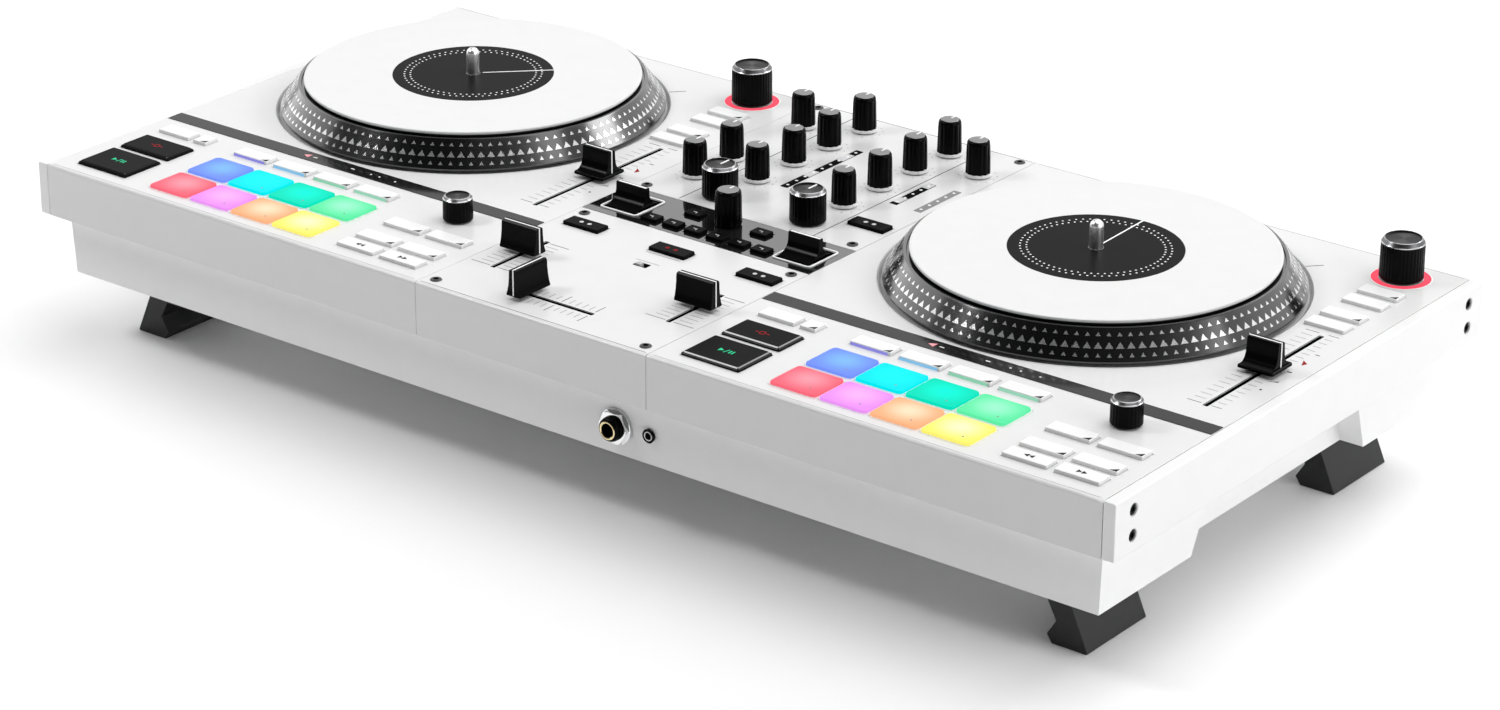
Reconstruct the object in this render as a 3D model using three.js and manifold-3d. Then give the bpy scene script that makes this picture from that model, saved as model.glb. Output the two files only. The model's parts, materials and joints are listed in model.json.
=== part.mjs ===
// Two-deck DJ controller: white steel top with two motorised platters, a mixer between
// them, and a white housing on four flared feet.
import * as THREE from 'three';
import { mergeVertices } from 'three/addons/utils/BufferGeometryUtils.js';
import Module from 'manifold-3d';

const wasm = await Module();
wasm.setup();

// Driving dimensions, in millimetres. Top-side pieces are placed in the surface frame:
// x from the middle, y back from the front edge, z up from the top surface.
const WIDTH = 687;
const DEPTH = 331;
const SURFACE_HEIGHT = 100;
const CHEEK_THICKNESS = 7;
const SHEET = 2.5;
const LIP_HEIGHT = 29;
const MIXER_HALF_WIDTH = 74.1;
const GAP = 0.3;
const UNDER_SHEET = -SHEET - GAP;
const ROUND = 40;

const DECK_CENTRES = [-220.5, 190.8];
const PLATTER_Y = 211.3;
const WELL = { radius: 108.6, floorRadius: 107.2, depth: 2, bossRadius: 110.6, holeRadius: 14.5 };
const PLATTER = { radius: 106.2, topRadius: 96, top: 15.5, seat: 14.6, seatRadius: 94, bottom: -0.8 };
const PLATTER_HOLLOW = { hub: 14, rim: 88, flare: 92, top: 9 };
const SLIPMAT_RADIUS = 91;
const VINYL = { radius: 93, bottom: 16.2, top: 18 };
const SPINDLE = { radius: 3.6, top: 33, bottom: -24, tip: 4, flange: 12, flangeZ: [-3.8, -1.1] };
const MOTOR = { radius: 45, top: -4.8, bottom: -27 };

const HOUSING = {
  top: -LIP_HEIGHT,
  bottom: -63.5,
  wall: 3,
  insetTop: [12, 9.7],
  insetBottom: [13.7, 10.6],
};
const RECESS = { front: 88, rear: 244.5, slope: 0.38, depthFromSide: 27 };
const FOOT_Y = [34, 255];
const FOOT_LENGTH = 50;

const KNOB_SHAFT = 3.1;
const SHAFT_HOLE = 3.5;
const SHAFT_END = -8;
const SLOT_WIDTH = 2.2;
const STEM = { thickness: 1.4, length: 4, end: -8 };
const MAT = { top: -5.3, bottom: -6.5 };
const KEY_TOP = 1.8;
const PAD_TOP = 1.5;

const WHITE_PAINT = { color: 0xf2f2f2, roughness: 0.35, metalness: 0.0 };
const WHITE_SATIN = { color: 0xededed, roughness: 0.45, metalness: 0.0 };
const BLACK_PLASTIC = { color: 0x0d0d0e, roughness: 0.4, metalness: 0.0 };
const BLACK_GLOSS = { color: 0x101012, roughness: 0.08, metalness: 0.0 };
const BLACK_RUBBER = { color: 0x161617, roughness: 0.7, metalness: 0.0 };
const CHROME = { color: 0xd8d8da, roughness: 0.12, metalness: 1.0 };
const STEEL = { color: 0x9b9da0, roughness: 0.4, metalness: 0.9 };
const BOARD_GREEN = { color: 0x1d5b35, roughness: 0.6, metalness: 0.0 };
const PAD_COLOUR = { color: 0xe9e4ff, roughness: 0.5, metalness: 0.0 };

// Solids ---------------------------------------------------------------------------------

// Turns a closed three.js geometry into a solid, with its faces pointing out.
function solid(geometry) {
  const bare = geometry.clone();
  bare.deleteAttribute('normal');
  bare.deleteAttribute('uv');
  const merged = mergeVertices(bare, 1e-4);
  const corners = merged.index.array;
  const triangles = [];
  for (let i = 0; i < corners.length; i += 3) {
    const [a, b, c] = corners.slice(i, i + 3);
    if (a !== b && b !== c && c !== a) triangles.push(a, b, c);
  }
  const build = (order) =>
    new wasm.Manifold(
      new wasm.Mesh({
        numProp: 3,
        vertProperties: new Float32Array(merged.attributes.position.array),
        triVerts: new Uint32Array(order),
      }),
    );
  const first = build(triangles);
  return first.volume() > 0 ? first : build(triangles.reverse());
}

function union(pieces) {
  return pieces.reduce((whole, piece) => whole.add(piece));
}

function cut(body, tools) {
  return tools.reduce((rest, tool) => rest.subtract(tool), body);
}

function block([x0, x1], [y0, y1], [z0, z1]) {
  const geometry = new THREE.BoxGeometry(x1 - x0, y1 - y0, z1 - z0);
  geometry.translate((x0 + x1) / 2, (y0 + y1) / 2, (z0 + z1) / 2);
  return solid(geometry);
}

// A block centred on x and y, between two heights.
function plate(x, y, width, depth, z0, z1) {
  return block([x - width / 2, x + width / 2], [y - depth / 2, y + depth / 2], [z0, z1]);
}

// Revolves a [radius, height] outline about the z axis. The outline closes on itself, or
// starts and ends on the axis.
function lathe(outline, segments) {
  const points = outline.map(([r, z]) => new THREE.Vector2(r, z));
  if (outline[0][0] > 0) points.push(points[0].clone());
  const geometry = new THREE.LatheGeometry(points, segments);
  geometry.rotateX(Math.PI / 2);
  return solid(geometry);
}

function cylinder(radius, z0, z1, segments = 12) {
  return lathe([[0, z0], [radius, z0], [radius, z1], [0, z1]], segments);
}

function outlineShape(outline) {
  return new THREE.Shape(outline.map(([u, v]) => new THREE.Vector2(u, v)));
}

// Extrudes a [y, z] outline along x.
function alongX(outline, x0, x1) {
  const geometry = new THREE.ExtrudeGeometry(outlineShape(outline), {
    depth: x1 - x0,
    bevelEnabled: false,
  });
  const toX = new THREE.Matrix4().makeBasis(
    new THREE.Vector3(0, 1, 0),
    new THREE.Vector3(0, 0, 1),
    new THREE.Vector3(1, 0, 0),
  );
  geometry.applyMatrix4(toX);
  geometry.translate(x0, 0, 0);
  return solid(geometry);
}

// Extrudes an [x, z] outline along y.
function alongY(outline, y0, y1) {
  const geometry = new THREE.ExtrudeGeometry(outlineShape(outline), {
    depth: y1 - y0,
    bevelEnabled: false,
  });
  geometry.rotateX(Math.PI / 2);
  geometry.translate(0, y1, 0);
  return solid(geometry);
}

// Stands a piece that was made about the z axis along the y axis, with its top to the front.
function layForward(piece) {
  return piece.rotate([90, 0, 0]);
}

function layBackward(piece) {
  return piece.rotate([-90, 0, 0]);
}

// Scene ------------------------------------------------------------------------------------

const group = new THREE.Group();
const surface = new THREE.Group();
surface.position.set(0, -DEPTH / 2, SURFACE_HEIGHT);
group.add(surface);

function addNode(name, body, look, parent = surface, position = [0, 0, 0]) {
  const { vertProperties, triVerts } = body.getMesh();
  const geometry = new THREE.BufferGeometry();
  geometry.setAttribute('position', new THREE.BufferAttribute(vertProperties, 3));
  geometry.setIndex(new THREE.BufferAttribute(triVerts, 1));
  const mesh = new THREE.Mesh(geometry, new THREE.MeshStandardMaterial(look));
  mesh.name = name;
  mesh.position.set(...position);
  parent.add(mesh);
}

// Key layouts ------------------------------------------------------------------------------

// A row of equal [x, y, width, depth] keys.
function keyRow(count, firstX, pitch, y, width, depth) {
  return Array.from({ length: count }, (_, i) => [firstX + i * pitch, y, width, depth]);
}

// Deck keys are placed from the platter's centre line.
const PLAY_KEY = [-86.4, 24.2, 35.2, 26.8];
const CUE_KEY = [-86.4, 52.4, 35.2, 20.4];
const PADS = [21.7, 49.7].flatMap((y) => keyRow(4, -36.2, 29.3, y, 26.8, 23.6));
const DECK_KEYS = [
  [-93.4, 76.4, 22, 9.6],
  [-74, 76.4, 9.2, 9.6],
  ...keyRow(4, -36.2, 29.1, 76.2, 24.2, 9.4),
  ...[16.2, 30.3, 51.2].flatMap((y) => keyRow(2, 94.8, 28.8, y, 24.6, 9.2)),
  ...[234, 248.6, 269.2, 284.2].flatMap((y) => keyRow(1, 121.4, 0, y, 22.4, 9.2)),
];
const LOOP_ENCODER = [108.3, 75.6];
const BROWSE_ENCODER = [118, 309.6];
const TEMPO_FADER = { x: 125.4, y: 168.6, travel: 100 };

const MIXER_KEYS = [
  [-55.2, 109.8, 23.2, 9.6],
  [1.7, 109.6, 23.2, 9.6],
  [57.6, 109.8, 23.2, 9.6],
  [59.4, 200.4, 22.8, 9.6],
];
const EFFECT_KEYS = [
  ...keyRow(6, -34.8, 14.32, 138.8, 10.4, 7.6),
  ...keyRow(2, -20.5, 43, 157, 10.4, 7.6),
];
const EFFECT_STRIP = [129, 169];
const PADDLES = [[-55.6, 148.6], [57.2, 148.6]];
const PADDLE_HOLE = [21.6, 23.2];
const VOLUME_FADERS = [
  { x: -56.4, y: 59.8, travel: 38, rest: 61.6 },
  { x: 56.8, y: 59.8, travel: 38, rest: 61.8 },
];
const CROSSFADER = { x: 0, y: 22.6, travel: 40, rest: -19 };
const SWITCH_WINDOW = [0.6, 87.2, 8, 4.4];

const SMALL_KNOBS = [
  ['gain_knob_1', -26.2, 311],
  ['high_knob_1', -26.2, 279.2],
  ['mid_knob_1', -26.2, 248],
  ['low_knob_1', -26.2, 216.2],
  ['gain_knob_2', 31.2, 310],
  ['high_knob_2', 31.2, 278.6],
  ['mid_knob_2', 31.2, 247.2],
  ['low_knob_2', 31.2, 215.6],
  ['master_knob', -55.6, 294.8],
  ['monitor_mix_knob', -56.2, 232.6],
  ['monitor_level_knob', -56, 200.9],
  ['microphone_knob', 61.2, 294],
];
const FILTER_KNOBS = [['filter_knob_1', -27.2, 185.8], ['filter_knob_2', 30.2, 186]];
const EFFECT_KNOB = [0.8, 157.2];

// Holes ------------------------------------------------------------------------------------

const THROUGH = [-8, 4];

function keyHole([x, y, width, depth]) {
  return plate(x, y, width + 2 * GAP, depth + 2 * GAP, ...THROUGH);
}

function shaftHole([x, y]) {
  return cylinder(SHAFT_HOLE, ...THROUGH).translate([x, y, 0]);
}

function slotLength(fader) {
  return fader.travel + STEM.length + 0.8;
}

function faderSlot(fader) {
  return plate(fader.x, fader.y, SLOT_WIDTH, slotLength(fader), ...THROUGH);
}

function crossSlot(fader) {
  return plate(fader.x, fader.y, slotLength(fader), SLOT_WIDTH, ...THROUGH);
}

// Static shell -----------------------------------------------------------------------------

// A sheet bent down at the front and the rear.
function bentSheet(x0, x1) {
  return union([
    block([x0, x1], [0, DEPTH], [-SHEET, 0]),
    block([x0, x1], [0, SHEET], [-LIP_HEIGHT, 0]),
    block([x0, x1], [DEPTH - SHEET, DEPTH], [-LIP_HEIGHT, 0]),
  ]);
}

function deckPlate(x0, x1) {
  const floor = -WELL.depth - SHEET;
  const boss = cylinder(WELL.bossRadius, floor, -SHEET, ROUND);
  const well = lathe(
    [[0, -WELL.depth], [WELL.floorRadius, -WELL.depth], [WELL.radius, 0], [WELL.radius, 1], [0, 1]],
    ROUND,
  );
  const shaft = cylinder(WELL.holeRadius, floor - 1, 1, 32);
  const atPlatter = (piece) => piece.translate([0, PLATTER_Y, 0]);
  const trimmedBoss = atPlatter(boss).intersect(block([x0, x1], [0, DEPTH], [floor, -SHEET]));
  return cut(bentSheet(x0, x1).add(trimmedBoss), [
    atPlatter(well),
    atPlatter(shaft),
    ...[PLAY_KEY, CUE_KEY, ...PADS, ...DECK_KEYS].map(keyHole),
    ...[LOOP_ENCODER, BROWSE_ENCODER].map(shaftHole),
    faderSlot(TEMPO_FADER),
  ]);
}

const EFFECT_PANEL = { thickness: 1.2, pocket: 1.5 };

// Everything that passes through both the mixer sheet and the effects panel.
function effectHoles() {
  return [
    ...EFFECT_KEYS.map(keyHole),
    ...PADDLES.map(([x, y]) => plate(x, y, ...PADDLE_HOLE, ...THROUGH)),
    shaftHole(EFFECT_KNOB),
  ];
}

function mixerPlate() {
  const half = MIXER_HALF_WIDTH - GAP / 2;
  const pocket = block([-half - 1, half + 1], EFFECT_STRIP, [-EFFECT_PANEL.pocket, 1]);
  return cut(bentSheet(-half, half), [
    pocket,
    ...effectHoles(),
    ...MIXER_KEYS.map(keyHole),
    keyHole(SWITCH_WINDOW),
    ...[...SMALL_KNOBS, ...FILTER_KNOBS].map(([, x, y]) => shaftHole([x, y])),
    ...VOLUME_FADERS.map(faderSlot),
    crossSlot(CROSSFADER),
  ]);
}

function effectPanel() {
  const half = MIXER_HALF_WIDTH - GAP / 2;
  const [front, rear] = EFFECT_STRIP;
  const panel = block([-half, half], [front + GAP, rear - GAP], [-EFFECT_PANEL.thickness, 0]);
  return cut(panel, effectHoles());
}

const CHEEK = { chamfer: 0.8, corner: 4, flat: 0.3 };
const CHEEK_SCREW = { radius: 3.2, depth: 1.6, y: [15.2, 317.8], z: [-8, -20.8] };

// End plate, with four screw recesses, a chamfered outer edge along the top and a cut
// lower corner at the rear. side is -1 or 1.
function cheek(side) {
  const outer = WIDTH / 2;
  const inner = outer - CHEEK_THICKNESS + GAP;
  const { chamfer, corner, flat } = CHEEK;
  const outline = [
    [0, -LIP_HEIGHT],
    [DEPTH - corner, -LIP_HEIGHT],
    [DEPTH - corner * flat, -LIP_HEIGHT + corner * flat],
    [DEPTH, -LIP_HEIGHT + corner],
    [DEPTH, 0],
    [0, 0],
  ];
  const [x0, x1] = side > 0 ? [inner, outer] : [-outer, -inner];
  const edge = alongY(
    [[side * (outer - chamfer), 0], [side * (outer + 1), 0.2 + chamfer], [side * outer, -chamfer]],
    -1,
    DEPTH + 1,
  );
  const { radius, depth } = CHEEK_SCREW;
  const recess = cylinder(radius, outer - depth, outer + 1, 14).rotate([0, side * 90, 0]);
  const recesses = CHEEK_SCREW.y.flatMap((y) =>
    CHEEK_SCREW.z.map((z) => recess.translate([0, y, z])),
  );
  return cut(alongX(outline, x0, x1), [edge, ...recesses]);
}

// A block whose four sides lean in towards the bottom, given its inset at the top and bottom.
function taperedBlock(insetTop, insetBottom, z0, z1) {
  const geometry = new THREE.BoxGeometry(1, 1, 1);
  const position = geometry.attributes.position;
  for (let i = 0; i < position.count; i += 1) {
    const upper = position.getZ(i) > 0;
    const [insetX, insetY] = upper ? insetTop : insetBottom;
    const x = Math.sign(position.getX(i)) * (WIDTH / 2 - insetX);
    const y = DEPTH / 2 + Math.sign(position.getY(i)) * (DEPTH / 2 - insetY);
    position.setXYZ(i, x, y, upper ? z1 : z0);
  }
  return solid(geometry);
}

// The hand recess in one side of the housing, grown outwards by the given amount.
function sideRecess(side, grow, top) {
  const low = HOUSING.bottom - 1;
  const lean = (z) => RECESS.slope * (z - HOUSING.bottom);
  const outline = [
    [RECESS.front + lean(low) - grow, low],
    [RECESS.rear - lean(low) + grow, low],
    [RECESS.rear - lean(top) + grow, top],
    [RECESS.front + lean(top) - grow, top],
  ];
  const inner = WIDTH / 2 - RECESS.depthFromSide - grow;
  return side > 0 ? alongX(outline, inner, WIDTH / 2) : alongX(outline, -WIDTH / 2, -inner);
}

const HEADPHONE_LARGE = { x: 47.5, z: -48.3, hole: 6.1 };
const HEADPHONE_SMALL = { x: 68.2, z: -47.6, hole: 3.3 };
const REAR_OPENING = { x: [-95, 95], z: [-59.5, -33.5] };
const BOARD = { x: 290, y: [45, 130], z: [-45, -43.4] };
const BOARD_POST_RADIUS = 3;
const BOARD_POSTS = [-270, 0, 270].flatMap((x) => [55, 120].map((y) => [x, y]));

function housing() {
  const { top, bottom, wall, insetTop, insetBottom } = HOUSING;
  const flangeTop = top + SHEET;
  const flangeX = WIDTH / 2 - CHEEK_THICKNESS;
  const flangeY = SHEET + GAP;
  const grown = ([x, y]) => [x + wall, y + wall];
  const shell = taperedBlock(insetTop, insetBottom, bottom, top);
  const flange = block([-flangeX, flangeX], [flangeY, DEPTH - flangeY], [top, flangeTop]);
  const sides = [-1, 1];
  const cavity = cut(
    taperedBlock(grown(insetTop), grown(insetBottom), bottom + wall, flangeTop + 1),
    sides.map((side) => sideRecess(side, wall, flangeTop + 2)),
  );
  const jackHole = ({ x, z, hole }) =>
    layForward(cylinder(hole, -20, 0)).translate([x, 0, z]);
  const hollow = cut(cut(union([shell, flange]), sides.map((side) => sideRecess(side, 0, top))), [
    cavity,
    jackHole(HEADPHONE_LARGE),
    jackHole(HEADPHONE_SMALL),
    block(REAR_OPENING.x, [DEPTH - 20, DEPTH], REAR_OPENING.z),
  ]);
  const posts = BOARD_POSTS.map(([x, y]) =>
    cylinder(BOARD_POST_RADIUS, bottom + 1, BOARD.z[0] - GAP, 10).translate([x, y, 0]),
  );
  return union([hollow, ...posts]);
}

// Distances from the middle of the object, across the neck and across the base.
const FOOT = { neck: [278.5, 293.7], base: [289.4, 309.4], knee: [291.4, 12.4], heel: [286.4, 4.4] };
const FOOT_EDGE = 0.6;

// A foot: a leaning neck that spreads outwards into a wide base. side is -1 or 1.
function foot(side) {
  const top = HOUSING.bottom - GAP;
  const ground = -SURFACE_HEIGHT;
  const outline = [
    [FOOT.neck[0], top],
    [FOOT.neck[1], top],
    [FOOT.base[1], ground + FOOT_EDGE],
    [FOOT.base[1] - FOOT_EDGE, ground],
    [FOOT.base[0], ground],
    [FOOT.heel[0], ground + FOOT.heel[1]],
    [FOOT.knee[0], ground + FOOT.knee[1]],
  ];
  return alongY(outline.map(([x, z]) => [side * x, z]), 0, FOOT_LENGTH);
}

// Sockets ----------------------------------------------------------------------------------

// The y of the face that the headphone sockets' washers rest on.
const WALL_FACE = 9.2;
const LARGE_BORE = 3.4;
const SMALL_BORE = 1.85;

// A 6.35 mm socket: body behind the wall, threaded bush, washer, hex nut and open nose.
function largeSocket() {
  const bush = cylinder(5.8, -6, 7, 24);
  const washer = cylinder(9.6, 0, 0.8, 24);
  const nut = cylinder(9.2, 0.5, 3.3, 6);
  const body = plate(0, 0, 16, 15, -26, -4.4);
  const bore = cylinder(LARGE_BORE, -22, 8, 20);
  return layForward(cut(union([bush, washer, nut, body]), [bore]));
}

// A 3.5 mm socket with a thin round rim.
function smallSocket() {
  const bush = cylinder(3, -6, 0.6, 16);
  const rim = cylinder(4, 0, 0.9, 20);
  const body = plate(0, 0, 9, 9, -17, -4.6);
  const bore = cylinder(SMALL_BORE, -14, 2, 16);
  return layForward(cut(union([bush, rim, body]), [bore]));
}

const LINE_SOCKETS = { x: [-8, 8, 40], spread: 6.2, collar: 4.8, barrel: 4, bore: 1.6, reach: 9 };
const ROUND_SOCKETS = { x: [62, 82], radius: 8.4, depth: 22, boreDepth: 18 };
const DATA_PORT = { x: [-46, -30], halfHeight: 8, depth: 18, wall: [1.8, 2.4], holeDepth: 12 };
const POWER_INLET = { x: -62, radius: 6.4, depth: 14, bore: 4.2, boreDepth: 11 };
const POWER_SWITCH = { x: [-88, -74], halfHeight: 4.6, reach: 2.2 };
const REAR_PLATE = { setBack: 2.2, thickness: 2.4, collar: 1.4 };

// The rear connector plate: three pairs of line sockets, two round sockets, a data port,
// a power inlet and a switch.
function rearConnectors() {
  const [x0, x1] = REAR_OPENING.x;
  const [z0, z1] = REAR_OPENING.z;
  const middle = (z0 + z1) / 2;
  const face = DEPTH - HOUSING.insetTop[1] - REAR_PLATE.setBack;
  const front = face + REAR_PLATE.collar;
  const place = (piece, x, z = middle) => layBackward(piece).translate([x, face, z]);
  const tall = (halfHeight) => [middle - halfHeight, middle + halfHeight];

  const { spread, collar, barrel, bore, reach } = LINE_SOCKETS;
  const lineSpots = LINE_SOCKETS.x.flatMap((x) => tall(spread).map((z) => [x, z]));
  const lineBody = union([cylinder(collar, -1, 2), cylinder(barrel, 1.8, reach)]);
  const lineBore = cylinder(bore, 1, reach + 1, 8);

  const { radius, depth, boreDepth } = ROUND_SOCKETS;
  const roundBody = cylinder(radius, -depth, REAR_PLATE.collar + 0.2, 16);
  const roundBore = cylinder(LARGE_BORE, -boreDepth, 4);

  const [sideWall, topWall] = DATA_PORT.wall;
  const [portX0, portX1] = DATA_PORT.x;
  const portHeight = tall(DATA_PORT.halfHeight);
  const port = block(DATA_PORT.x, [face - DATA_PORT.depth, front], portHeight);
  const portHole = block(
    [portX0 + sideWall, portX1 - sideWall],
    [face - DATA_PORT.holeDepth, front + 1],
    tall(DATA_PORT.halfHeight - topWall),
  );

  const inlet = cylinder(POWER_INLET.radius, -POWER_INLET.depth, REAR_PLATE.collar, 16);
  const inletHole = cylinder(POWER_INLET.bore, -POWER_INLET.boreDepth, 4);
  const rocker = block(
    POWER_SWITCH.x,
    [face - 1, face + POWER_SWITCH.reach],
    tall(POWER_SWITCH.halfHeight),
  );
  const backing = block(
    [x0 + GAP, x1 - GAP],
    [face - REAR_PLATE.thickness, face],
    [z0 + GAP, z1 - GAP],
  );
  const bodies = [
    backing,
    port,
    place(inlet, POWER_INLET.x),
    rocker,
    ...lineSpots.map(([x, z]) => place(lineBody, x, z)),
    ...ROUND_SOCKETS.x.map((x) => place(roundBody, x)),
  ];
  return cut(union(bodies), [
    portHole,
    place(inletHole, POWER_INLET.x),
    ...lineSpots.map(([x, z]) => place(lineBore, x, z)),
    ...ROUND_SOCKETS.x.map((x) => place(roundBore, x)),
  ]);
}

// Internal pieces --------------------------------------------------------------------------

const CHIPS = { x: [-180, -60, 60, 180], y: 92, side: 24, height: 2.8 };

// The board, with four electronic packages standing on it.
function mainBoard() {
  const face = BOARD.z[1];
  const { y, side, height } = CHIPS;
  const chips = CHIPS.x.map((x) => plate(x, y, side, side, face - 0.2, face + height));
  return union([block([-BOARD.x, BOARD.x], BOARD.y, BOARD.z), ...chips]);
}

// Motor can with an open bore for the spindle.
function motor() {
  const bore = SPINDLE.radius + GAP;
  const { radius, top, bottom } = MOTOR;
  return lathe([[bore, bottom], [radius, bottom], [radius, top], [bore, top]], 24);
}

// Platter assembly -------------------------------------------------------------------------

// A sloping rim round a flat seat, hollow below between its hub and its rim.
function platter() {
  const { radius, topRadius, top, seat, seatRadius, bottom } = PLATTER;
  const { hub, rim, flare, top: hollow } = PLATTER_HOLLOW;
  const bore = SPINDLE.radius + GAP;
  return lathe(
    [
      [bore, bottom],
      [hub, bottom],
      [hub, hollow],
      [rim, hollow],
      [flare, bottom],
      [radius - 5, bottom],
      [radius, 1],
      [radius, 1.8],
      [topRadius, top],
      [seatRadius + 0.4, top],
      [seatRadius, seat],
      [bore, seat],
    ],
    ROUND,
  );
}

function slipmat() {
  const bore = SPINDLE.radius + GAP;
  const low = PLATTER.seat + GAP;
  const high = VINYL.bottom - GAP;
  return lathe([[bore, low], [SLIPMAT_RADIUS, low], [SLIPMAT_RADIUS, high], [bore, high]], ROUND);
}

function vinyl() {
  const bore = SPINDLE.radius + GAP;
  const { radius, bottom, top } = VINYL;
  return lathe(
    [
      [bore, bottom],
      [radius - 0.7, bottom],
      [radius, bottom + 0.6],
      [radius, top - 0.5],
      [radius - 0.7, top],
      [bore, top],
    ],
    ROUND,
  );
}

// Shaft with a carrying flange below the platter's hub and a rounded tip.
function spindle() {
  const { radius, top, bottom, tip, flange, flangeZ } = SPINDLE;
  const dome = [0, 0.4, 0.75].map((step) => {
    const angle = (step * Math.PI) / 2;
    return [radius * Math.cos(angle), top - tip + tip * Math.sin(angle)];
  });
  return lathe(
    [
      [0, bottom],
      [radius, bottom],
      [radius, flangeZ[0]],
      [flange, flangeZ[0]],
      [flange, flangeZ[1]],
      [radius, flangeZ[1]],
      ...dome,
      [0, top],
    ],
    14,
  );
}

// Knobs ------------------------------------------------------------------------------------

const KNOB_LIFT = 0.8;
const POINTER = { width: 1.1, rise: 0.35 };

// A fluted grip with a bevelled rim, a base flange, a pointer rib and its shaft.
function knob({ radius, height, flutes, groove, bevel, flange, pointer }) {
  const steps = flutes * 2;
  const outline = Array.from({ length: steps }, (_, i) => {
    const angle = (i / steps) * 2 * Math.PI;
    const r = radius - bevel - (i % 2 === 0 ? groove : 0);
    return new THREE.Vector2(r * Math.cos(angle), r * Math.sin(angle));
  });
  const grip = new THREE.ExtrudeGeometry(new THREE.Shape(outline), {
    depth: height - KNOB_LIFT - 2 * bevel,
    bevelEnabled: true,
    bevelThickness: bevel,
    bevelSize: bevel,
    bevelSegments: 1,
  });
  grip.translate(0, 0, KNOB_LIFT + bevel);
  const [inner, outer] = pointer;
  return union([
    solid(grip),
    cylinder(flange, KNOB_LIFT - 0.2, KNOB_LIFT + 1, 18),
    plate(0, (inner + outer) / 2, POINTER.width, outer - inner, height - 1, height + POINTER.rise),
    cylinder(KNOB_SHAFT, SHAFT_END, KNOB_LIFT + 1, 10),
  ]);
}

const SMALL_KNOB = {
  radius: 6.8, height: 20.6, flutes: 8, groove: 0.35, bevel: 0.8, flange: 7.4, pointer: [2, 5.6],
};
const FILTER_KNOB = {
  radius: 9.7, height: 18.6, flutes: 12, groove: 0.3, bevel: 1, flange: 9.9, pointer: [1, 8.4],
};
const TALL_KNOB = {
  radius: 7.2, height: 20.8, flutes: 8, groove: 0.3, bevel: 0.9, flange: 7.5, pointer: [2, 5.8],
};
const BROWSE_KNOB = {
  radius: 11.7, height: 22, flutes: 14, groove: 0.25, bevel: 1, flange: 11.9, pointer: [7.4, 10.2],
};
const LOOP_KNOB = {
  radius: 8, height: 13.9, flutes: 10, groove: 0.3, bevel: 0.8, flange: 8.1, pointer: [4.4, 6.8],
};

// Faders and levers ------------------------------------------------------------------------

const CAP = { width: 23, base: 2.3, top: 16.4, halfBase: 4.4, halfNeck: 2.6, halfRidge: 1.8 };
const TEMPO_CAP = { width: 17.8, base: [20, 18.6], baseHeight: 1.6 };

// Closes the right half of an outline, listed upwards, with its mirror image.
function mirrored(rightHalf) {
  return [...rightHalf, ...rightHalf.map(([u, v]) => [-u, v]).reverse()];
}

function stem(z) {
  return plate(0, 0, STEM.thickness, STEM.length, STEM.end, z);
}

// A tapered cap on a thin stem, for a fader that moves along y.
function volumeCap() {
  const half = CAP.width / 2;
  const { base, top, halfBase, halfNeck, halfRidge } = CAP;
  const outline = mirrored([[halfBase, base], [halfNeck, top - 0.6], [halfRidge, top]]);
  return union([alongX(outline, -half, half), stem(CAP.base + 1)]);
}

// A cap with a broad base that sweeps up to a narrow ridge.
function tempoCap() {
  const { base, top, halfRidge } = CAP;
  const outline = mirrored([
    [8.6, base + 1.4],
    [5.4, 5.2],
    [3.6, 8],
    [2.8, 12],
    [2.4, top - 0.4],
    [halfRidge, top],
  ]);
  const half = TEMPO_CAP.width / 2;
  const apron = plate(0, 0, ...TEMPO_CAP.base, base, base + TEMPO_CAP.baseHeight);
  return union([alongX(outline, -half, half), apron, stem(base + 1)]);
}

const PADDLE = { pivot: -6, pivotRadius: 2.4, pivotLength: 18, top: 11.2, halfWidth: 9.9, skirt: 9.6 };

// A lever: a blade that sweeps out to a skirt, on a pivot boss below the surface.
function paddle() {
  const { pivot, pivotRadius, pivotLength, top, halfWidth, skirt } = PADDLE;
  const outline = mirrored([
    [skirt, -1.4],
    [skirt, 0.4],
    [5.4, 1.5],
    [2.8, 3],
    [1.7, 5.2],
    [1.3, top],
  ]);
  const edge = halfWidth - 1.2;
  const outside = halfWidth + 0.4;
  const trim = [-1, 1].map((side) =>
    alongY(
      [[side * edge, top + 0.2], [side * outside, top + 0.2], [side * outside, 2], [side * edge, 4]],
      -3,
      3,
    ),
  );
  const round = Array.from({ length: 12 }, (_, i) => {
    const angle = (i / 12) * 2 * Math.PI;
    return [pivotRadius * Math.cos(angle), pivot + pivotRadius * Math.sin(angle)];
  });
  const boss = alongX(round, -pivotLength / 2, pivotLength / 2);
  const web = plate(0, 0, pivotLength, pivotRadius, pivot, 0);
  return union([cut(alongX(outline, -halfWidth, halfWidth), trim), boss, web]);
}

// Keys -------------------------------------------------------------------------------------

const BIG_KEY = { top: 2, flange: 1, flangeDepth: 1.2 };

// A large key with a retaining flange under the sheet.
function bigKey([, , width, depth]) {
  const { top, flange, flangeDepth } = BIG_KEY;
  const low = UNDER_SHEET - flangeDepth;
  return union([
    plate(0, 0, width, depth, low + 0.2, top),
    plate(0, 0, width + 2 * flange, depth + 2 * flange, low, UNDER_SHEET),
  ]);
}

// Key caps standing on one silicone mat.
function keyMat(keys, sheets, cuts, top) {
  const caps = keys.map(([x, y, width, depth]) => plate(x, y, width, depth, MAT.bottom, top));
  const mat = sheets.map(([xs, ys]) => block(xs, ys, [MAT.bottom, MAT.top]));
  return cut(union([...mat, ...caps]), cuts);
}

function padMat() {
  return keyMat(PADS, [[[-51.5, 67], [8, 63.5]]], [], PAD_TOP);
}

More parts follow.
